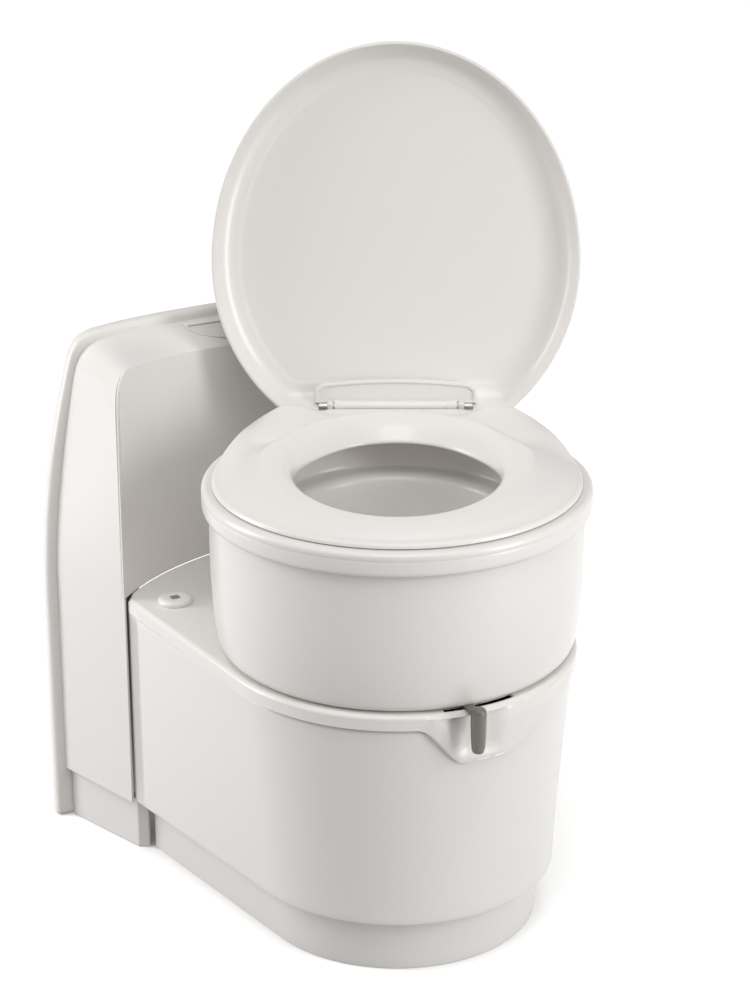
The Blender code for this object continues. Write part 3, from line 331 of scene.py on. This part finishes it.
def face_outward(item):
    """Turns an open skin over if its first face looks towards the middle."""
    bm = bmesh.new()
    bm.from_mesh(item.data)
    bm.faces.ensure_lookup_table()
    first = bm.faces[0]
    if first.normal.dot(first.calc_center_median()) < 0:
        bmesh.ops.reverse_faces(bm, faces=bm.faces)
        bm.to_mesh(item.data)
    bm.free()


def wall(item, thickness, even=True):
    """Gives a skin its thickness, inward from the visible side."""
    shell = item.modifiers.new("wall", "SOLIDIFY")
    shell.thickness = thickness
    shell.offset = -1
    shell.use_even_offset = even
    return settle(item)


def ease(item, width, segments=3, angle=35):
    """Rounds the sharp edges, and keeps flat faces flat in the shading."""
    edges = item.modifiers.new("edges", "BEVEL")
    edges.width = width
    edges.segments = segments
    edges.limit_method = "ANGLE"
    edges.angle_limit = math.radians(angle)
    edges.miter_outer = "MITER_ARC"
    level = item.modifiers.new("level", "WEIGHTED_NORMAL")
    level.keep_sharp = True
    return item


def cut(item, *cutters):
    """Takes each cutter out of the piece, and removes the cutter."""
    for cutter in cutters:
        boolean = item.modifiers.new("cut", "BOOLEAN")
        boolean.object = cutter
        boolean.solver = "EXACT"
        settle(item)
        bpy.data.objects.remove(cutter)
    return item


def block(name, low, high, place=IN_TOILET):
    """A box between two corners, used as a cutter."""
    bm = bmesh.new()
    bmesh.ops.create_cube(bm, size=1)
    centre = [(a + b) / 2 for a, b in zip(low, high)]
    bmesh.ops.scale(bm, vec=[b - a for a, b in zip(low, high)], verts=bm.verts)
    bmesh.ops.translate(bm, vec=centre, verts=bm.verts)
    return piece(name, bm, place)


def prism(name, outline, low, high, place=IN_TOILET):
    """A flat outline raised from low to high."""
    bm = skin([at_height(outline, low), at_height(outline, high)], first_cap=True, last_cap=True)
    return piece(name, bm, place)


def turned(name, profile, place=IN_TOILET, steps=144, closed=True):
    """A profile of (radius, height) points turned about the vertical axis."""
    rows = []
    for radius, z in profile:
        rows.append([(x, y, z) for x, y in arc(radius, 0, 2 * math.pi, steps)[:-1]])
    return piece(name, skin(rows, wrap=closed), place)


def finish(item, body, slot, *replaced):
    """Gives a piece its finish and its body, and has it stand for the CAD nodes it replaces."""
    item.data.materials.clear()
    item.data.materials.append(LOOKS[slot])
    for face in item.data.polygons:
        face.material_index = 0
    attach(item, body)
    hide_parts(*replaced)
    return item


# Base


def base_outline(radius, corner, side_steps=10, arc_steps=112):
    """Straight side from the corner, round front, and straight side back."""
    reach = math.hypot(*corner)
    tangent = math.atan2(corner[1], corner[0]) - math.acos(radius / reach)
    touch = (radius * math.cos(tangent), radius * math.sin(tangent))
    side = [
        tuple(corner[k] + (touch[k] - corner[k]) * i / side_steps for k in range(2))
        for i in range(side_steps)
    ]
    front = arc(radius, tangent, -math.pi - tangent, arc_steps)
    return side + front + [(-x, y) for x, y in reversed(side)]


def housing_radius(z):
    """The housing's front tapers a little towards the floor."""
    share = max(0, (z - PLINTH_TOP) / (HOUSING_TOP - PLINTH_TOP))
    return HOUSING_RADIUS_FOOT + (HOUSING_RADIUS_TOP - HOUSING_RADIUS_FOOT) * share**1.35


def turn_of(x, y):
    """Degrees round from the front, plus towards +X."""
    return math.degrees(math.atan2(x, -y))


def apron_depth(x, y):
    """How far the cover's edge hangs down round the lever."""
    if y > 0:
        return 0.0
    turn = turn_of(x, y)
    return APRON_DROP * smooth_step((turn + 21) / 15) * smooth_step((37 - turn) / 30)


def scoop(x, y, z):
    """Depth of the hollow behind the lever knob."""
    if y > 0:
        return 0.0
    turn = turn_of(x, y)
    slant = (0.290 - z) * 110
    across = smooth_step((turn + 13.5 - slant) / 5.0) * smooth_step((7.5 - turn) / 6.0)
    return SCOOP_DEPTH * across * smooth_step((z - 0.2505) / 0.012) * smooth_step((0.3000 - z) / 0.004)


def build_housing():
    lip = PLINTH_TOP + GAP
    heights = [HOUSING_TOP - GAP, 0.280, 0.272, 0.264, 0.256, 0.250, 0.244, 0.235]
    heights += [0.22, 0.20, 0.18, 0.16, 0.14, 0.12, 0.10, 0.08, 0.068, lip + 0.0018]
    rows = []
    for z in heights:
        outline = base_outline(housing_radius(z), BASE_CORNER)
        row = []
        for x, y in outline:
            push = 1 - 1.15 * scoop(x, y, z) / math.hypot(x, y)
            row.append((x * push, y * push, z))
        rows.append(row)
    for inset, rise in ((0.0003, 0.0008), (0.0010, 0.0002), (0.0022, 0.0)):
        corner = (BASE_CORNER[0] - inset, BASE_CORNER[1])
        rows.append(at_height(base_outline(housing_radius(lip) - inset, corner), lip + rise))
    inner = (PLINTH_CORNER[0] + 0.003, BASE_CORNER[1])
    rows.append(at_height(base_outline(PLINTH_RADIUS + 0.004, inner), lip))
    item = wall(piece("base_housing_skin", skin(rows, around=False)), 0.0025)
    return finish(item, "base", "white_shell", "base_housing")


def build_plinth():
    rows = []
    for step in range(7):
        share = step / 6
        z = (PLINTH_TOP - GAP / 2) * (1 - share)
        inset = 0.0008 * max(0, share - 0.9) / 0.1
        radius = PLINTH_RADIUS + 0.003 * (1 - share) - inset
        rows.append(at_height(base_outline(radius, PLINTH_CORNER), z))
    item = wall(piece("base_plinth_skin", skin(rows, around=False)), 0.003)
    ease(item, 0.0006, 2)
    return finish(item, "base", "white_shell", "base_plinth")


def cover_outline(inset):
    """The base's outline, closed behind by the curve of the console's front."""
    front = base_outline(LEDGE_RADIUS - inset, (BASE_CORNER[0] - inset, BASE_CORNER[1] - inset))
    radius = CONSOLE_RADIUS - 0.0004 - 0.1 * inset
    x, _ = front[-1]
    start = math.atan2(math.sqrt(radius * radius - x * x), x)
    back = arc(radius, start, math.pi - start, 40)[1:-1]
    return front + back


def build_top_cover():
    outline = cover_outline(0.0)
    hole = []
    for x, y in outline:
        size = math.hypot(x, y)
        hole.append((x / size * TURNTABLE_RADIUS, y / size * TURNTABLE_RADIUS))
    rows = [at_height(hole, LEDGE_TOP)]
    rounding = ((0.0160, 0.0), (0.0050, 0.0), (0.0036, 0.0001), (0.0018, 0.0009), (0.0006, 0.0022))
    for inset, drop in rounding:
        rows.append(at_height(cover_outline(inset), LEDGE_TOP - drop))
    band_top = LEDGE_TOP - 0.0036
    for step in range(19):
        share = step / 18
        row = []
        for x, y in outline:
            depth = apron_depth(x, y)
            z = band_top - share * (band_top - HOUSING_TOP + depth)
            gone = LEDGE_RADIUS - housing_radius(min(z, HOUSING_TOP)) - 0.003
            proud = APRON_PROUD * smooth_step(depth / 0.012)
            edge = 0.0010 * max(0, share - 0.94) / 0.06
            if y < 0.02:
                push = 1 - (gone + scoop(x, y, z) - proud + edge) / math.hypot(x, y)
            else:
                push = 1 - gone / SIDE_REACH
            row.append((x * push, y * push, z))
        rows.append(row)
    item = wall(piece("base_top_cover_skin", skin(rows)), 0.0022)
    left, right = -math.pi / 2 - SLOT_HALF_ANGLE, -math.pi / 2 + SLOT_HALF_ANGLE
    slot = arc(SLOT_OUTER, left, right, 24) + arc(SLOT_INNER, right, left, 24)
    half = 0.0065
    at = Matrix.Translation((*LEVEL_AT, 0))
    window = block("window_cut", (-half, -half, 0.28), (half, half, 0.32), at)
    cut(item, prism("slot_cut", slot, LEDGE_TOP - 0.009, LEDGE_TOP + 0.010), window)
    ease(item, 0.0005, 2, 40)
    return finish(item, "base", "white_shell", "base_top_cover")


def build_turntable():
    outer = TURNTABLE_RADIUS - 0.0006
    low = LEDGE_TOP - 0.0095
    inner = outer - 0.026
    profile = [(outer, LEDGE_TOP), (outer, low), (inner, low), (inner, LEDGE_TOP)]
    item = ease(turned("turntable_ring_skin", profile), 0.0006, 2)
    return finish(item, "base", "grey_pan", "turntable_ring")


# Console


def front_y(x):
    """The console's front is a hollow round the bowl's swivel axis."""
    return math.sqrt(CONSOLE_RADIUS**2 - x * x)


def console_front_edge():
    """Left side and left half of the top of the front's edge, as (x, z)."""
    side_x = -CONSOLE_HALF_FRONT
    foot = LEDGE_TOP + 2 * GAP
    side = [(side_x, foot + (0.515 - foot) * i / 8) for i in range(9)]
    corner = cubic((side_x, 0.515), (side_x, 0.542), (-0.205, 0.556), (-0.185, 0.554), 5)
    top = cubic((-0.185, 0.554), (-0.145, 0.550), (-0.085, 0.540), (0, 0.538), 10)
    return side + corner, top


def console_back_edge():
    """The same two lines where the console meets the flange."""
    side_x = -CONSOLE_HALF_BACK
    foot = LEDGE_TOP + 2 * GAP
    side = [(side_x, foot)]
    side += cubic(side[0], (-0.247, 0.370), (-0.232, 0.460), (-0.219, 0.520), 8)
    corner = cubic((-0.219, 0.520), (-0.214, 0.545), (-0.203, 0.558), (-0.180, 0.5605), 5)
    top = cubic((-0.180, 0.5605), (-0.145, 0.563), (-0.085, 0.5665), (0, 0.567), 10)
    return side + corner, top


def build_console():
    side, top = console_front_edge()
    back_side, back_top = console_back_edge()
    corner_x, corner_z = side[-1]
    foot = side[0][1]
    top_row = [side[-1]] + top[:-1] + mirrored(top) + [(-corner_x, corner_z)]
    across = len(top_row) - 1
    bm = bmesh.new()
    grid = []
    for j, (edge_x, edge_z) in enumerate(side):
        rise = (edge_z - foot) / (corner_z - foot)
        row = []
        for i, (top_x, top_z) in enumerate(top_row):
            middle = 2 * i / across - 1
            x = middle * -edge_x + j / (len(side) - 1) * (top_x + middle * corner_x)
            row.append(bm.verts.new((x, front_y(x), foot + rise * (top_z - foot))))
        grid.append(row)
    for low, high in zip(grid, grid[1:]):
        for i in range(across):
            bm.faces.new((low[i], low[i + 1], high[i + 1], high[i]))
    back_y = WALL_Y - FLANGE_DEPTH
    half = back_side + back_top
    back = half[:-1] + mirrored(half)
    front_foot = PLINTH_TOP + GAP
    left = bm.verts.new((-CONSOLE_HALF_FRONT, front_y(CONSOLE_HALF_FRONT), front_foot))
    right = bm.verts.new((CONSOLE_HALF_FRONT, front_y(CONSOLE_HALF_FRONT), front_foot))
    edge = [left] + [row[0] for row in grid] + grid[-1][1:-1]
    edge += [row[-1] for row in reversed(grid)] + [right]
    foot_x = CONSOLE_HALF_BACK + 0.0005
    back = [(-foot_x, front_foot)] + back + [(foot_x, front_foot)]
    strips = [edge]
    for k in range(1, 5):
        share = k / 4
        row = []
        for vert, (x, z) in zip(edge, back):
            start = vert.co
            row.append(bm.verts.new(start.lerp(Vector((x, back_y, z)), share)))
        strips.append(row)
    for first, second in zip(strips, strips[1:]):
        for i in range(len(edge) - 1):
            bm.faces.new((first[i], first[i + 1], second[i + 1], second[i]))
    item = piece("console_housing_skin", bm)
    round_edge = item.modifiers.new("round", "BEVEL")
    round_edge.width = 0.0075
    round_edge.segments = 5
    round_edge.limit_method = "ANGLE"
    round_edge.angle_limit = math.radians(38)
    settle(item)
    wall(item, 0.0028, even=False)
    opening = prism("opening_cut", panel_outline(0.0004), -0.014, 0.012, IN_PANEL)
    cut(item, opening)
    ease(item, 0.0004, 2, 50)
    return finish(item, "base", "white_shell", "console_housing")


def flange_outline():
    """Left half of the flange's outline, from the floor up to the middle of the top."""
    side_x = -FLANGE_HALF_WIDTH
    side = [(side_x, 0.0), (side_x, 0.090), (side_x, 0.180), (side_x, 0.270)]
    side += cubic(side[-1], (side_x, 0.400), (-0.237, 0.480), (-0.223, 0.536), 12)
    side += cubic(side[-1], (-0.217, 0.558), (-0.208, 0.5655), (-0.190, 0.5685), 6)
    side += cubic(side[-1], (-0.150, 0.5745), (-0.080, 0.5765), (0, CONSOLE_TOP), 8)
    return side


def build_flange():
    half = flange_outline()
    tunnel = [(TUNNEL_HALF_WIDTH, 0.0), (TUNNEL_HALF_WIDTH, TUNNEL_TOP)]
    outline = half[:-1] + mirrored(half) + tunnel + mirrored(tunnel)
    upright = Matrix.Rotation(math.pi / 2, 4, "X")
    item = prism("console_flange_skin", outline, -WALL_Y, FLANGE_DEPTH - WALL_Y, upright)
    ease(item, 0.0058, 5, 50)
    return finish(item, "base", "white_shell", "console_flange")


def build_console_plinths():
    points = [(0.2420, 0.3310), (0.2050, 0.2250), (0.1945, 0.2200)]
    points += [(0.1915, 0.2225), (0.1975, 0.2290), (0.2325, 0.3310)]
    for sign, side in ((-1, "left"), (1, "right")):
        outline = [(sign * x, y) for x, y in points]
        item = prism("console_plinth_skin_" + side, outline, 0.0, PLINTH_TOP - GAP)
        ease(item, 0.0012, 3, 30)
        finish(item, "base", "white_shell", "console_plinth_" + side)


def panel_outline(growth):
    """Straight behind and bowed in front, in the panel's own plane."""
    half, depth = PANEL_HALF_LENGTH + growth, PANEL_HALF_DEPTH + growth
    turns = [math.pi * i / 45 for i in range(46)]
    return [(-half * math.cos(t), depth - 2 * depth * max(0, math.sin(t)) ** 0.8) for t in turns]


def build_panel():
    section = [(0.0, -0.006), (0.0, 0.0035), (-0.0008, 0.0045)]
    section += [(-0.0027, 0.0045), (-0.0035, 0.0037), (-0.0035, -0.006)]
    rows = [at_height(panel_outline(growth), z) for growth, z in section]
    bezel = piece("control_panel_bezel_skin", skin(rows, wrap=True), IN_PANEL)
    finish(bezel, "base", "white_fitting", "control_panel_bezel")
    plate = prism("control_panel_plate_skin", panel_outline(-0.0039), -0.004, 0.003, IN_PANEL)
    rod = [(BUTTON_HOLE_RADIUS, -0.02), (BUTTON_HOLE_RADIUS, 0.02), (0, 0.02), (0, -0.02)]
    hole = turned("hole", rod, IN_PANEL, 48)
    lens_hole = block("lens_cut", (0.0375, -0.0032, -0.02), (0.0525, 0.0032, 0.02), IN_PANEL)
    cut(plate, hole, lens_hole)
    ease(plate, 0.0004, 2, 50)
    finish(plate, "base", "white_fitting", "control_panel_plate")
    dished = [(0, 0.0046), (0.0030, 0.0047), (0.0047, 0.0052), (0.0055, 0.0046)]
    dished += [(0.0056, 0.0035), (0.0056, -0.0035)]
    button = turned("flush_button_skin", flow(dished, 4) + [(0, -0.0035)], IN_PANEL, 48)
    finish(button, "flush_button", "white_fitting", "flush_button")


def build_level_indicator():
    at = Matrix.Translation((*LEVEL_AT, LEDGE_TOP))
    line = [(0.0185, GAP), (0.0185, 0.0022), (0.0181, 0.0036), (0.0168, 0.0050)]
    line += [(0.0145, 0.0058), (0.0118, 0.0060)]
    profile = flow(line, 4) + [(0.0100, 0.0056), (0.0060, 0.0055), (0.0, 0.0055), (0.0, GAP)]
    item = turned("level_indicator_bezel_skin", profile, at, 72)
    half = 0.0050
    cut(item, block("bezel_cut", (-half, -half, -0.01), (half, half, 0.02), at))
    ease(item, 0.0004, 2, 40)
    finish(item, "base", "white_shell", "level_indicator_bezel")


# Bowl


def build_drum():
    foot = LEDGE_TOP + 2 * GAP
    outside = [(0.1896, DRUM_TOP - GAP), (0.1900, 0.4525), (DRUM_RADIUS, 0.440), (DRUM_RADIUS, 0.410)]
    outside += [(0.1897, 0.380), (0.1884, 0.353), (0.1862, 0.330), (0.1838, 0.3155)]
    outside += [(0.1815, 0.3095), (0.1775, 0.3055), (0.1700, foot)]
    outside = flow(outside, 4) + [(0.060, foot)]
    inside = [(0.060, foot + 0.0025), (0.166, foot + 0.0025), (0.1785, 0.3135), (0.1838, 0.330)]
    inside += [(0.1868, 0.360), (0.1876, 0.400), (0.1876, DRUM_TOP - GAP)]
    item = turned("drum_shell_skin", outside + inside, IN_BOWL, 192)
    finish(item, "bowl", "white_shell", "drum_shell")


def build_bowl():
    band = RIM_RADIUS - 0.0001
    rim = [(0.1918, DRUM_TOP + GAP), (0.1934, 0.4557), (0.1942, 0.4568), (band, 0.4600), (band, 0.4675)]
    rim += [(0.1940, 0.4690), (RIM_RADIUS, 0.4708), (band, 0.4730), (0.1930, 0.4743), (0.1905, RIM_TOP)]
    basin = [(0.160, RIM_TOP), (0.151, RIM_TOP - 0.0003), (0.1465, 0.4715), (0.1440, 0.466)]
    basin += [(0.1415, 0.456), (0.1392, 0.4455), (0.1362, 0.4398), (0.1300, 0.4375), (0.1230, 0.4366)]
    basin += [(0.1182, 0.4338), (0.1158, 0.4280), (0.1130, 0.412), (0.1080, 0.388), (0.0990, 0.362)]
    basin += [(0.0840, 0.341), (0.0640, 0.3275), (0.0460, 0.3195), (0.0385, 0.3140)]
    basin += [(OUTLET_RADIUS, 0.3060), (OUTLET_RADIUS, NECK_FOOT)]
    line = flow(rim, 3) + flow(basin, 4)
    item = turned("toilet_bowl_skin", line, IN_BOWL, 192, closed=False)
    face_outward(item)
    wall(item, 0.0030)
    finish(item, "bowl", "white_shell", "toilet_bowl", "flush_nozzle")


# Seat


def seat_opening(turn):
    """Radius of the opening at an angle: two half ovals of one width."""
    half_width, front, back = SEAT_OPENING
    length = back if math.sin(turn) > 0 else front
    return 1 / math.hypot(math.cos(turn) / half_width, math.sin(turn) / length)


def seat_outline(turn):
    """Radius of the seat at an angle: round in front, with shoulders and a tongue to the hinge behind."""
    across, along = abs(math.cos(turn)), math.sin(turn)
    if along < math.sin(SHOULDER_START):
        return SEAT_RADIUS
    edge = [SEAT_BACK / along]
    for (x, y), (to_x, to_y) in zip(SHOULDER, SHOULDER[1:]):
        normal = (to_y - y, x - to_x)
        edge.append((x * normal[0] + y * normal[1]) / (across * normal[0] + along * normal[1]))
    sharp = 60
    soft = sum(e**-sharp for e in edge) ** (-1 / sharp)
    return soft * (1 + smooth_step((along - 0.899) / 0.040) * (TONGUE_BACK / SEAT_BACK - 1))


def build_seat():
    steps = 240
    rings = []
    for i in range(steps):
        turn = 2 * math.pi * i / steps
        across, along = math.cos(turn), math.sin(turn)
        opening = seat_opening(turn)
        outer = seat_outline(turn)
        behind = smooth_step((along - 0.15) / 0.4)
        under = smooth_step((along - 0.858) / 0.060)
        slope = smooth_step((along + 0.25) / 1.0)
        crest = SEAT_CREST + 0.0040 * (1 + along)
        crease = opening + (outer - opening) * (0.36 - 0.16 * behind)
        edge = SEAT_FOOT + 0.0055 + behind * (SHOULDER_TOP - SEAT_FOOT - 0.0055)
        edge += under * (TONGUE_TOP - SHOULDER_TOP)
        middle = (crease + outer) / 2
        middle += under * (0.157 / max(along, 0.5) - middle)
        middle_z = (crest + edge) / 2 - 0.0004
        middle_z += under * (TONGUE_TOP + 0.0010 - middle_z)
        line = [
            (opening + 0.004 - 0.010 * slope, SEAT_FOOT),
            (opening - 0.0020 - 0.014 * slope, SEAT_FOOT + 0.0008),
            (opening - 0.0042 - 0.014 * slope, SEAT_FOOT + 0.0034),
            (opening - 0.0040 - 0.010 * slope, SEAT_FOOT + 0.0085),
            (opening - 0.0015 - 0.003 * slope, crest - 0.0070),
            (opening + 0.0030, crest - 0.0027),
            (opening + 0.0080, crest - 0.0005),
            (crease - 0.003, crest),
            (crease + 0.0015, crest - 0.0007),
            (crease + 0.0050, crest - 0.0020),
            (middle, middle_z),
            (outer - 0.0080, edge + 0.0008 * (1 - under)),
            (outer - 0.0030, edge - 0.0006),
            (outer - 0.0006, edge - 0.0026),
            (outer, edge - 0.0052),
            (outer - 0.0002, SEAT_FOOT + 0.0010),
            (outer - 0.0024, SEAT_FOOT),
        ]
        ring = flow(line, 3)
        rings.append([(r * across, r * along - HINGE_Y, z - HINGE_Z) for r, z in ring])
    item = piece("seat_ring_skin", skin(rings, wrap=True), IN_SEAT)
    finish(item, "seat", "white_shell", "seat_ring")


# Lid


def lid_outline(inset, count=200):
    """Oval cut straight behind the hinge, with its corners rounded."""
    blend = 0.006
    points = []
    for i in range(count):
        turn = 2 * math.pi * (i + 0.5) / count
        length = LID_ROUND_BACK if math.sin(turn) > 0 else LID_WIDEST - LID_FRONT
        y = LID_WIDEST + (length - inset) * math.sin(turn)
        over = y - (LID_BACK - inset)
        if over > -blend:
            y = LID_BACK - inset - blend * (1 - min(1, (over + blend) / (2 * blend))) ** 2
        points.append(((LID_HALF_WIDTH - inset) * math.cos(turn), y))
    return points


def build_lid():
    """A section of (inset, rise) carried round the lid: over the outside, round the foot, and in below."""
    foot = LID_TOP - LID_DEPTH
    outer = [(0.0030, 0.0), (0.0012, 0.0), (0.0003, 0.0006), (0.0, 0.0020), (0.0, 0.0070), (0.0004, 0.0130)]
    outer += [(0.0015, 0.0175), (0.0038, 0.0215), (0.0075, 0.0245), (0.0130, 0.0261), (0.0220, 0.0268)]
    outer += [(0.0500, LID_DEPTH), (0.1000, LID_DEPTH), (0.150, LID_DEPTH)]
    inner = [(0.0034, 0.0004), (0.0042, 0.0030), (0.0062, 0.0085), (0.0095, 0.0136), (0.0145, 0.0180)]
    inner += [(0.0205, 0.0207), (0.0265, 0.0221), (0.0285, 0.0224), (0.0300, 0.0232), (0.0330, 0.0236)]
    inner += [(0.0500, 0.0237), (0.1000, 0.0238), (0.150, 0.0238)]
    section = outer[::-1] + inner
    rows = [at_height(lid_outline(inset), foot + rise) for inset, rise in section]
    item = piece("lid_shell_skin", skin(rows, first_cap=True, last_cap=True), IN_LID)
    half = HINGE_COVER_HALF_WIDTH + 0.0006
    cut(item, block("hinge_cut", (-half, -0.0125, -0.04), (half, 0.05, 0.05), IN_LID))
    finish(item, "lid", "white_shell", "lid_shell", "lid_buffer_left", "lid_buffer_right")


def build_hinge_cover():
    """A bar with a bowed front edge, and a thin frame round a panel on its underside."""
    half = HINGE_COVER_HALF_WIDTH + COVER_WIDER
    reach = COVER_REACH + COVER_SHORTER
    back = COVER_BACK + COVER_DEEPER
    count = 24
    rows = []
    for inset, z in (
        (0.0030, COVER_HIGH),
        (0.0008, COVER_HIGH - 0.0005),
        (0.0, COVER_HIGH - 0.0020),
        (0.0, COVER_LOW + 0.0016),
        (0.0005, COVER_LOW + 0.0004),
        (0.0014, COVER_LOW),
        (0.0030, COVER_LOW),
        (0.0036, COVER_LOW + 0.0004),
        (0.0040, COVER_LOW + 0.0016),
        (0.0048, COVER_LOW + 0.0020),
    ):
        side = half - inset
        outline = []
        for i in range(count + 1):
            x = -side + 2 * side * i / count
            end = max(0, abs(x) - side + 0.007) / 0.007
            outline.append((x, reach + inset + 0.0056 * (x / half) ** 2 + 0.004 * end**2.2))
        outline += [(side, back - inset * 0.6), (-side, back - inset * 0.6)]
        rows.append(at_height(outline, z))
    item = piece("hinge_cover_skin", skin(rows, first_cap=True, last_cap=True), IN_LID)
    ease(item, 0.0003, 2, 40)
    finish(item, "lid", "white_shell", "hinge_cover")


def build_hinge_barrel():
    """A round bar on the hinge line, which stands for the lid's two hinge arms."""
    chamfer = 0.0010
    ends = [(-BARREL_HALF_WIDTH, BARREL_RADIUS - chamfer), (-BARREL_HALF_WIDTH + chamfer, BARREL_RADIUS)]
    ends += [(-x, radius) for x, radius in reversed(ends)]
    rows = [[(x, y, z) for y, z in arc(radius, 0, 2 * math.pi, 48)[:-1]] for x, radius in ends]
    barrel = piece("hinge_barrel", skin(rows, first_cap=True, last_cap=True), IN_LID)
    ease(barrel, 0.0002, 2, 40)
    finish(barrel, "lid", "white_shell", "lid_hinge_arm_left", "lid_hinge_arm_right")


# Lever


def build_knob():
    top = [(0.0, 0.0), (0.0030, 0.0001), (0.0056, 0.0010), (0.0072, 0.0032)]
    top += [(KNOB_RADIUS, 0.0070), (KNOB_RADIUS, 0.0180)]
    foot = [(0.0074, 0.0160), (0.0068, 0.0060), (0.0060, 0.0020), (0.0044, 0.0002), (0.0, 0.0)]
    line = [(radius, KNOB_TOP - drop) for radius, drop in top]
    line += [(radius, KNOB_FOOT + rise) for radius, rise in foot]
    place = IN_LEVER @ Matrix.Translation((0, -KNOB_REACH, 0))
    item = turned("lever_knob_skin", flow(line, 4), place, 64, closed=False)
    finish(item, "lever", "taupe_lever", "lever_knob")


build_housing()
build_plinth()
build_top_cover()
build_turntable()
build_console()
build_flange()
build_console_plinths()
build_panel()
build_level_indicator()
build_drum()
build_bowl()
build_seat()
build_lid()
build_hinge_cover()
build_hinge_barrel()
build_knob()

# The CAD nodes that stay take the finish of their slot, and their edges are eased.
SLOT_OF = {entry["node"]: entry["material_slot"] for entry in frame["record"]["subparts"]}
for name, node in nodes.items():
    if node.hide_render:
        continue
    node.data.materials.clear()
    node.data.materials.append(LOOKS[SLOT_OF[name]])
    ease(node, 0.0006, 2, 40)


# Studio


def build_floor():
    bm = bmesh.new()
    bmesh.ops.create_grid(bm, x_segments=4, y_segments=4, size=14)
    floor = piece("studio_floor", bm, Matrix.Translation((0, 0, -FLOOR_DROP)))
    floor.data.materials.append(material("pale_floor", (0.93, 0.93, 0.925), 0.7, vary=0.004, bump=0.02))
    floor.visible_diffuse = False
    return floor


def build_lights(floor):
    """A dim even sky, a soft sun from above, one that only the floor receives, and three light boxes."""
    scene = bpy.context.scene
    scene.world = bpy.data.worlds.new("studio")
    scene.world.use_nodes = True
    sky = scene.world.node_tree.nodes["Background"]
    sky.inputs["Color"].default_value = (1.0, 0.995, 0.985, 1)
    sky.inputs["Strength"].default_value = 0.38
    floor_only = bpy.data.collections.new("floor_only")
    floor_only.objects.link(floor)
    for name, energy, tilt in SUNS:
        sun = bpy.data.objects.new(name, bpy.data.lights.new(name, "SUN"))
        sun.data.energy = energy
        sun.data.angle = math.radians(70)
        sun.rotation_euler = [math.radians(turn) for turn in tilt]
        scene.collection.objects.link(sun)
        if name == "floor_light":
            sun.light_linking.receiver_collection = floor_only
    for name, location, size, power in BOXES:
        lamp = bpy.data.objects.new(name, bpy.data.lights.new(name, "AREA"))
        lamp.data.shape = "RECTANGLE"
        lamp.data.size, lamp.data.size_y = size
        lamp.data.energy = power
        lamp.location = location
        lamp.rotation_euler = (AIM - Vector(location)).to_track_quat("-Z", "Y").to_euler()
        scene.collection.objects.link(lamp)


def build_camera():
    scene = bpy.context.scene
    camera = bpy.data.objects.new("camera", bpy.data.cameras.new("camera"))
    camera.data.lens = LENS
    camera.data.sensor_width = 36
    camera.location = CAMERA_AT
    camera.rotation_euler = CAMERA_FORWARD.to_track_quat("-Z", "Y").to_euler()
    scene.collection.objects.link(camera)
    bpy.context.scene.camera = camera
    scene.view_settings.view_transform = "Standard"


build_lights(build_floor())
build_camera()
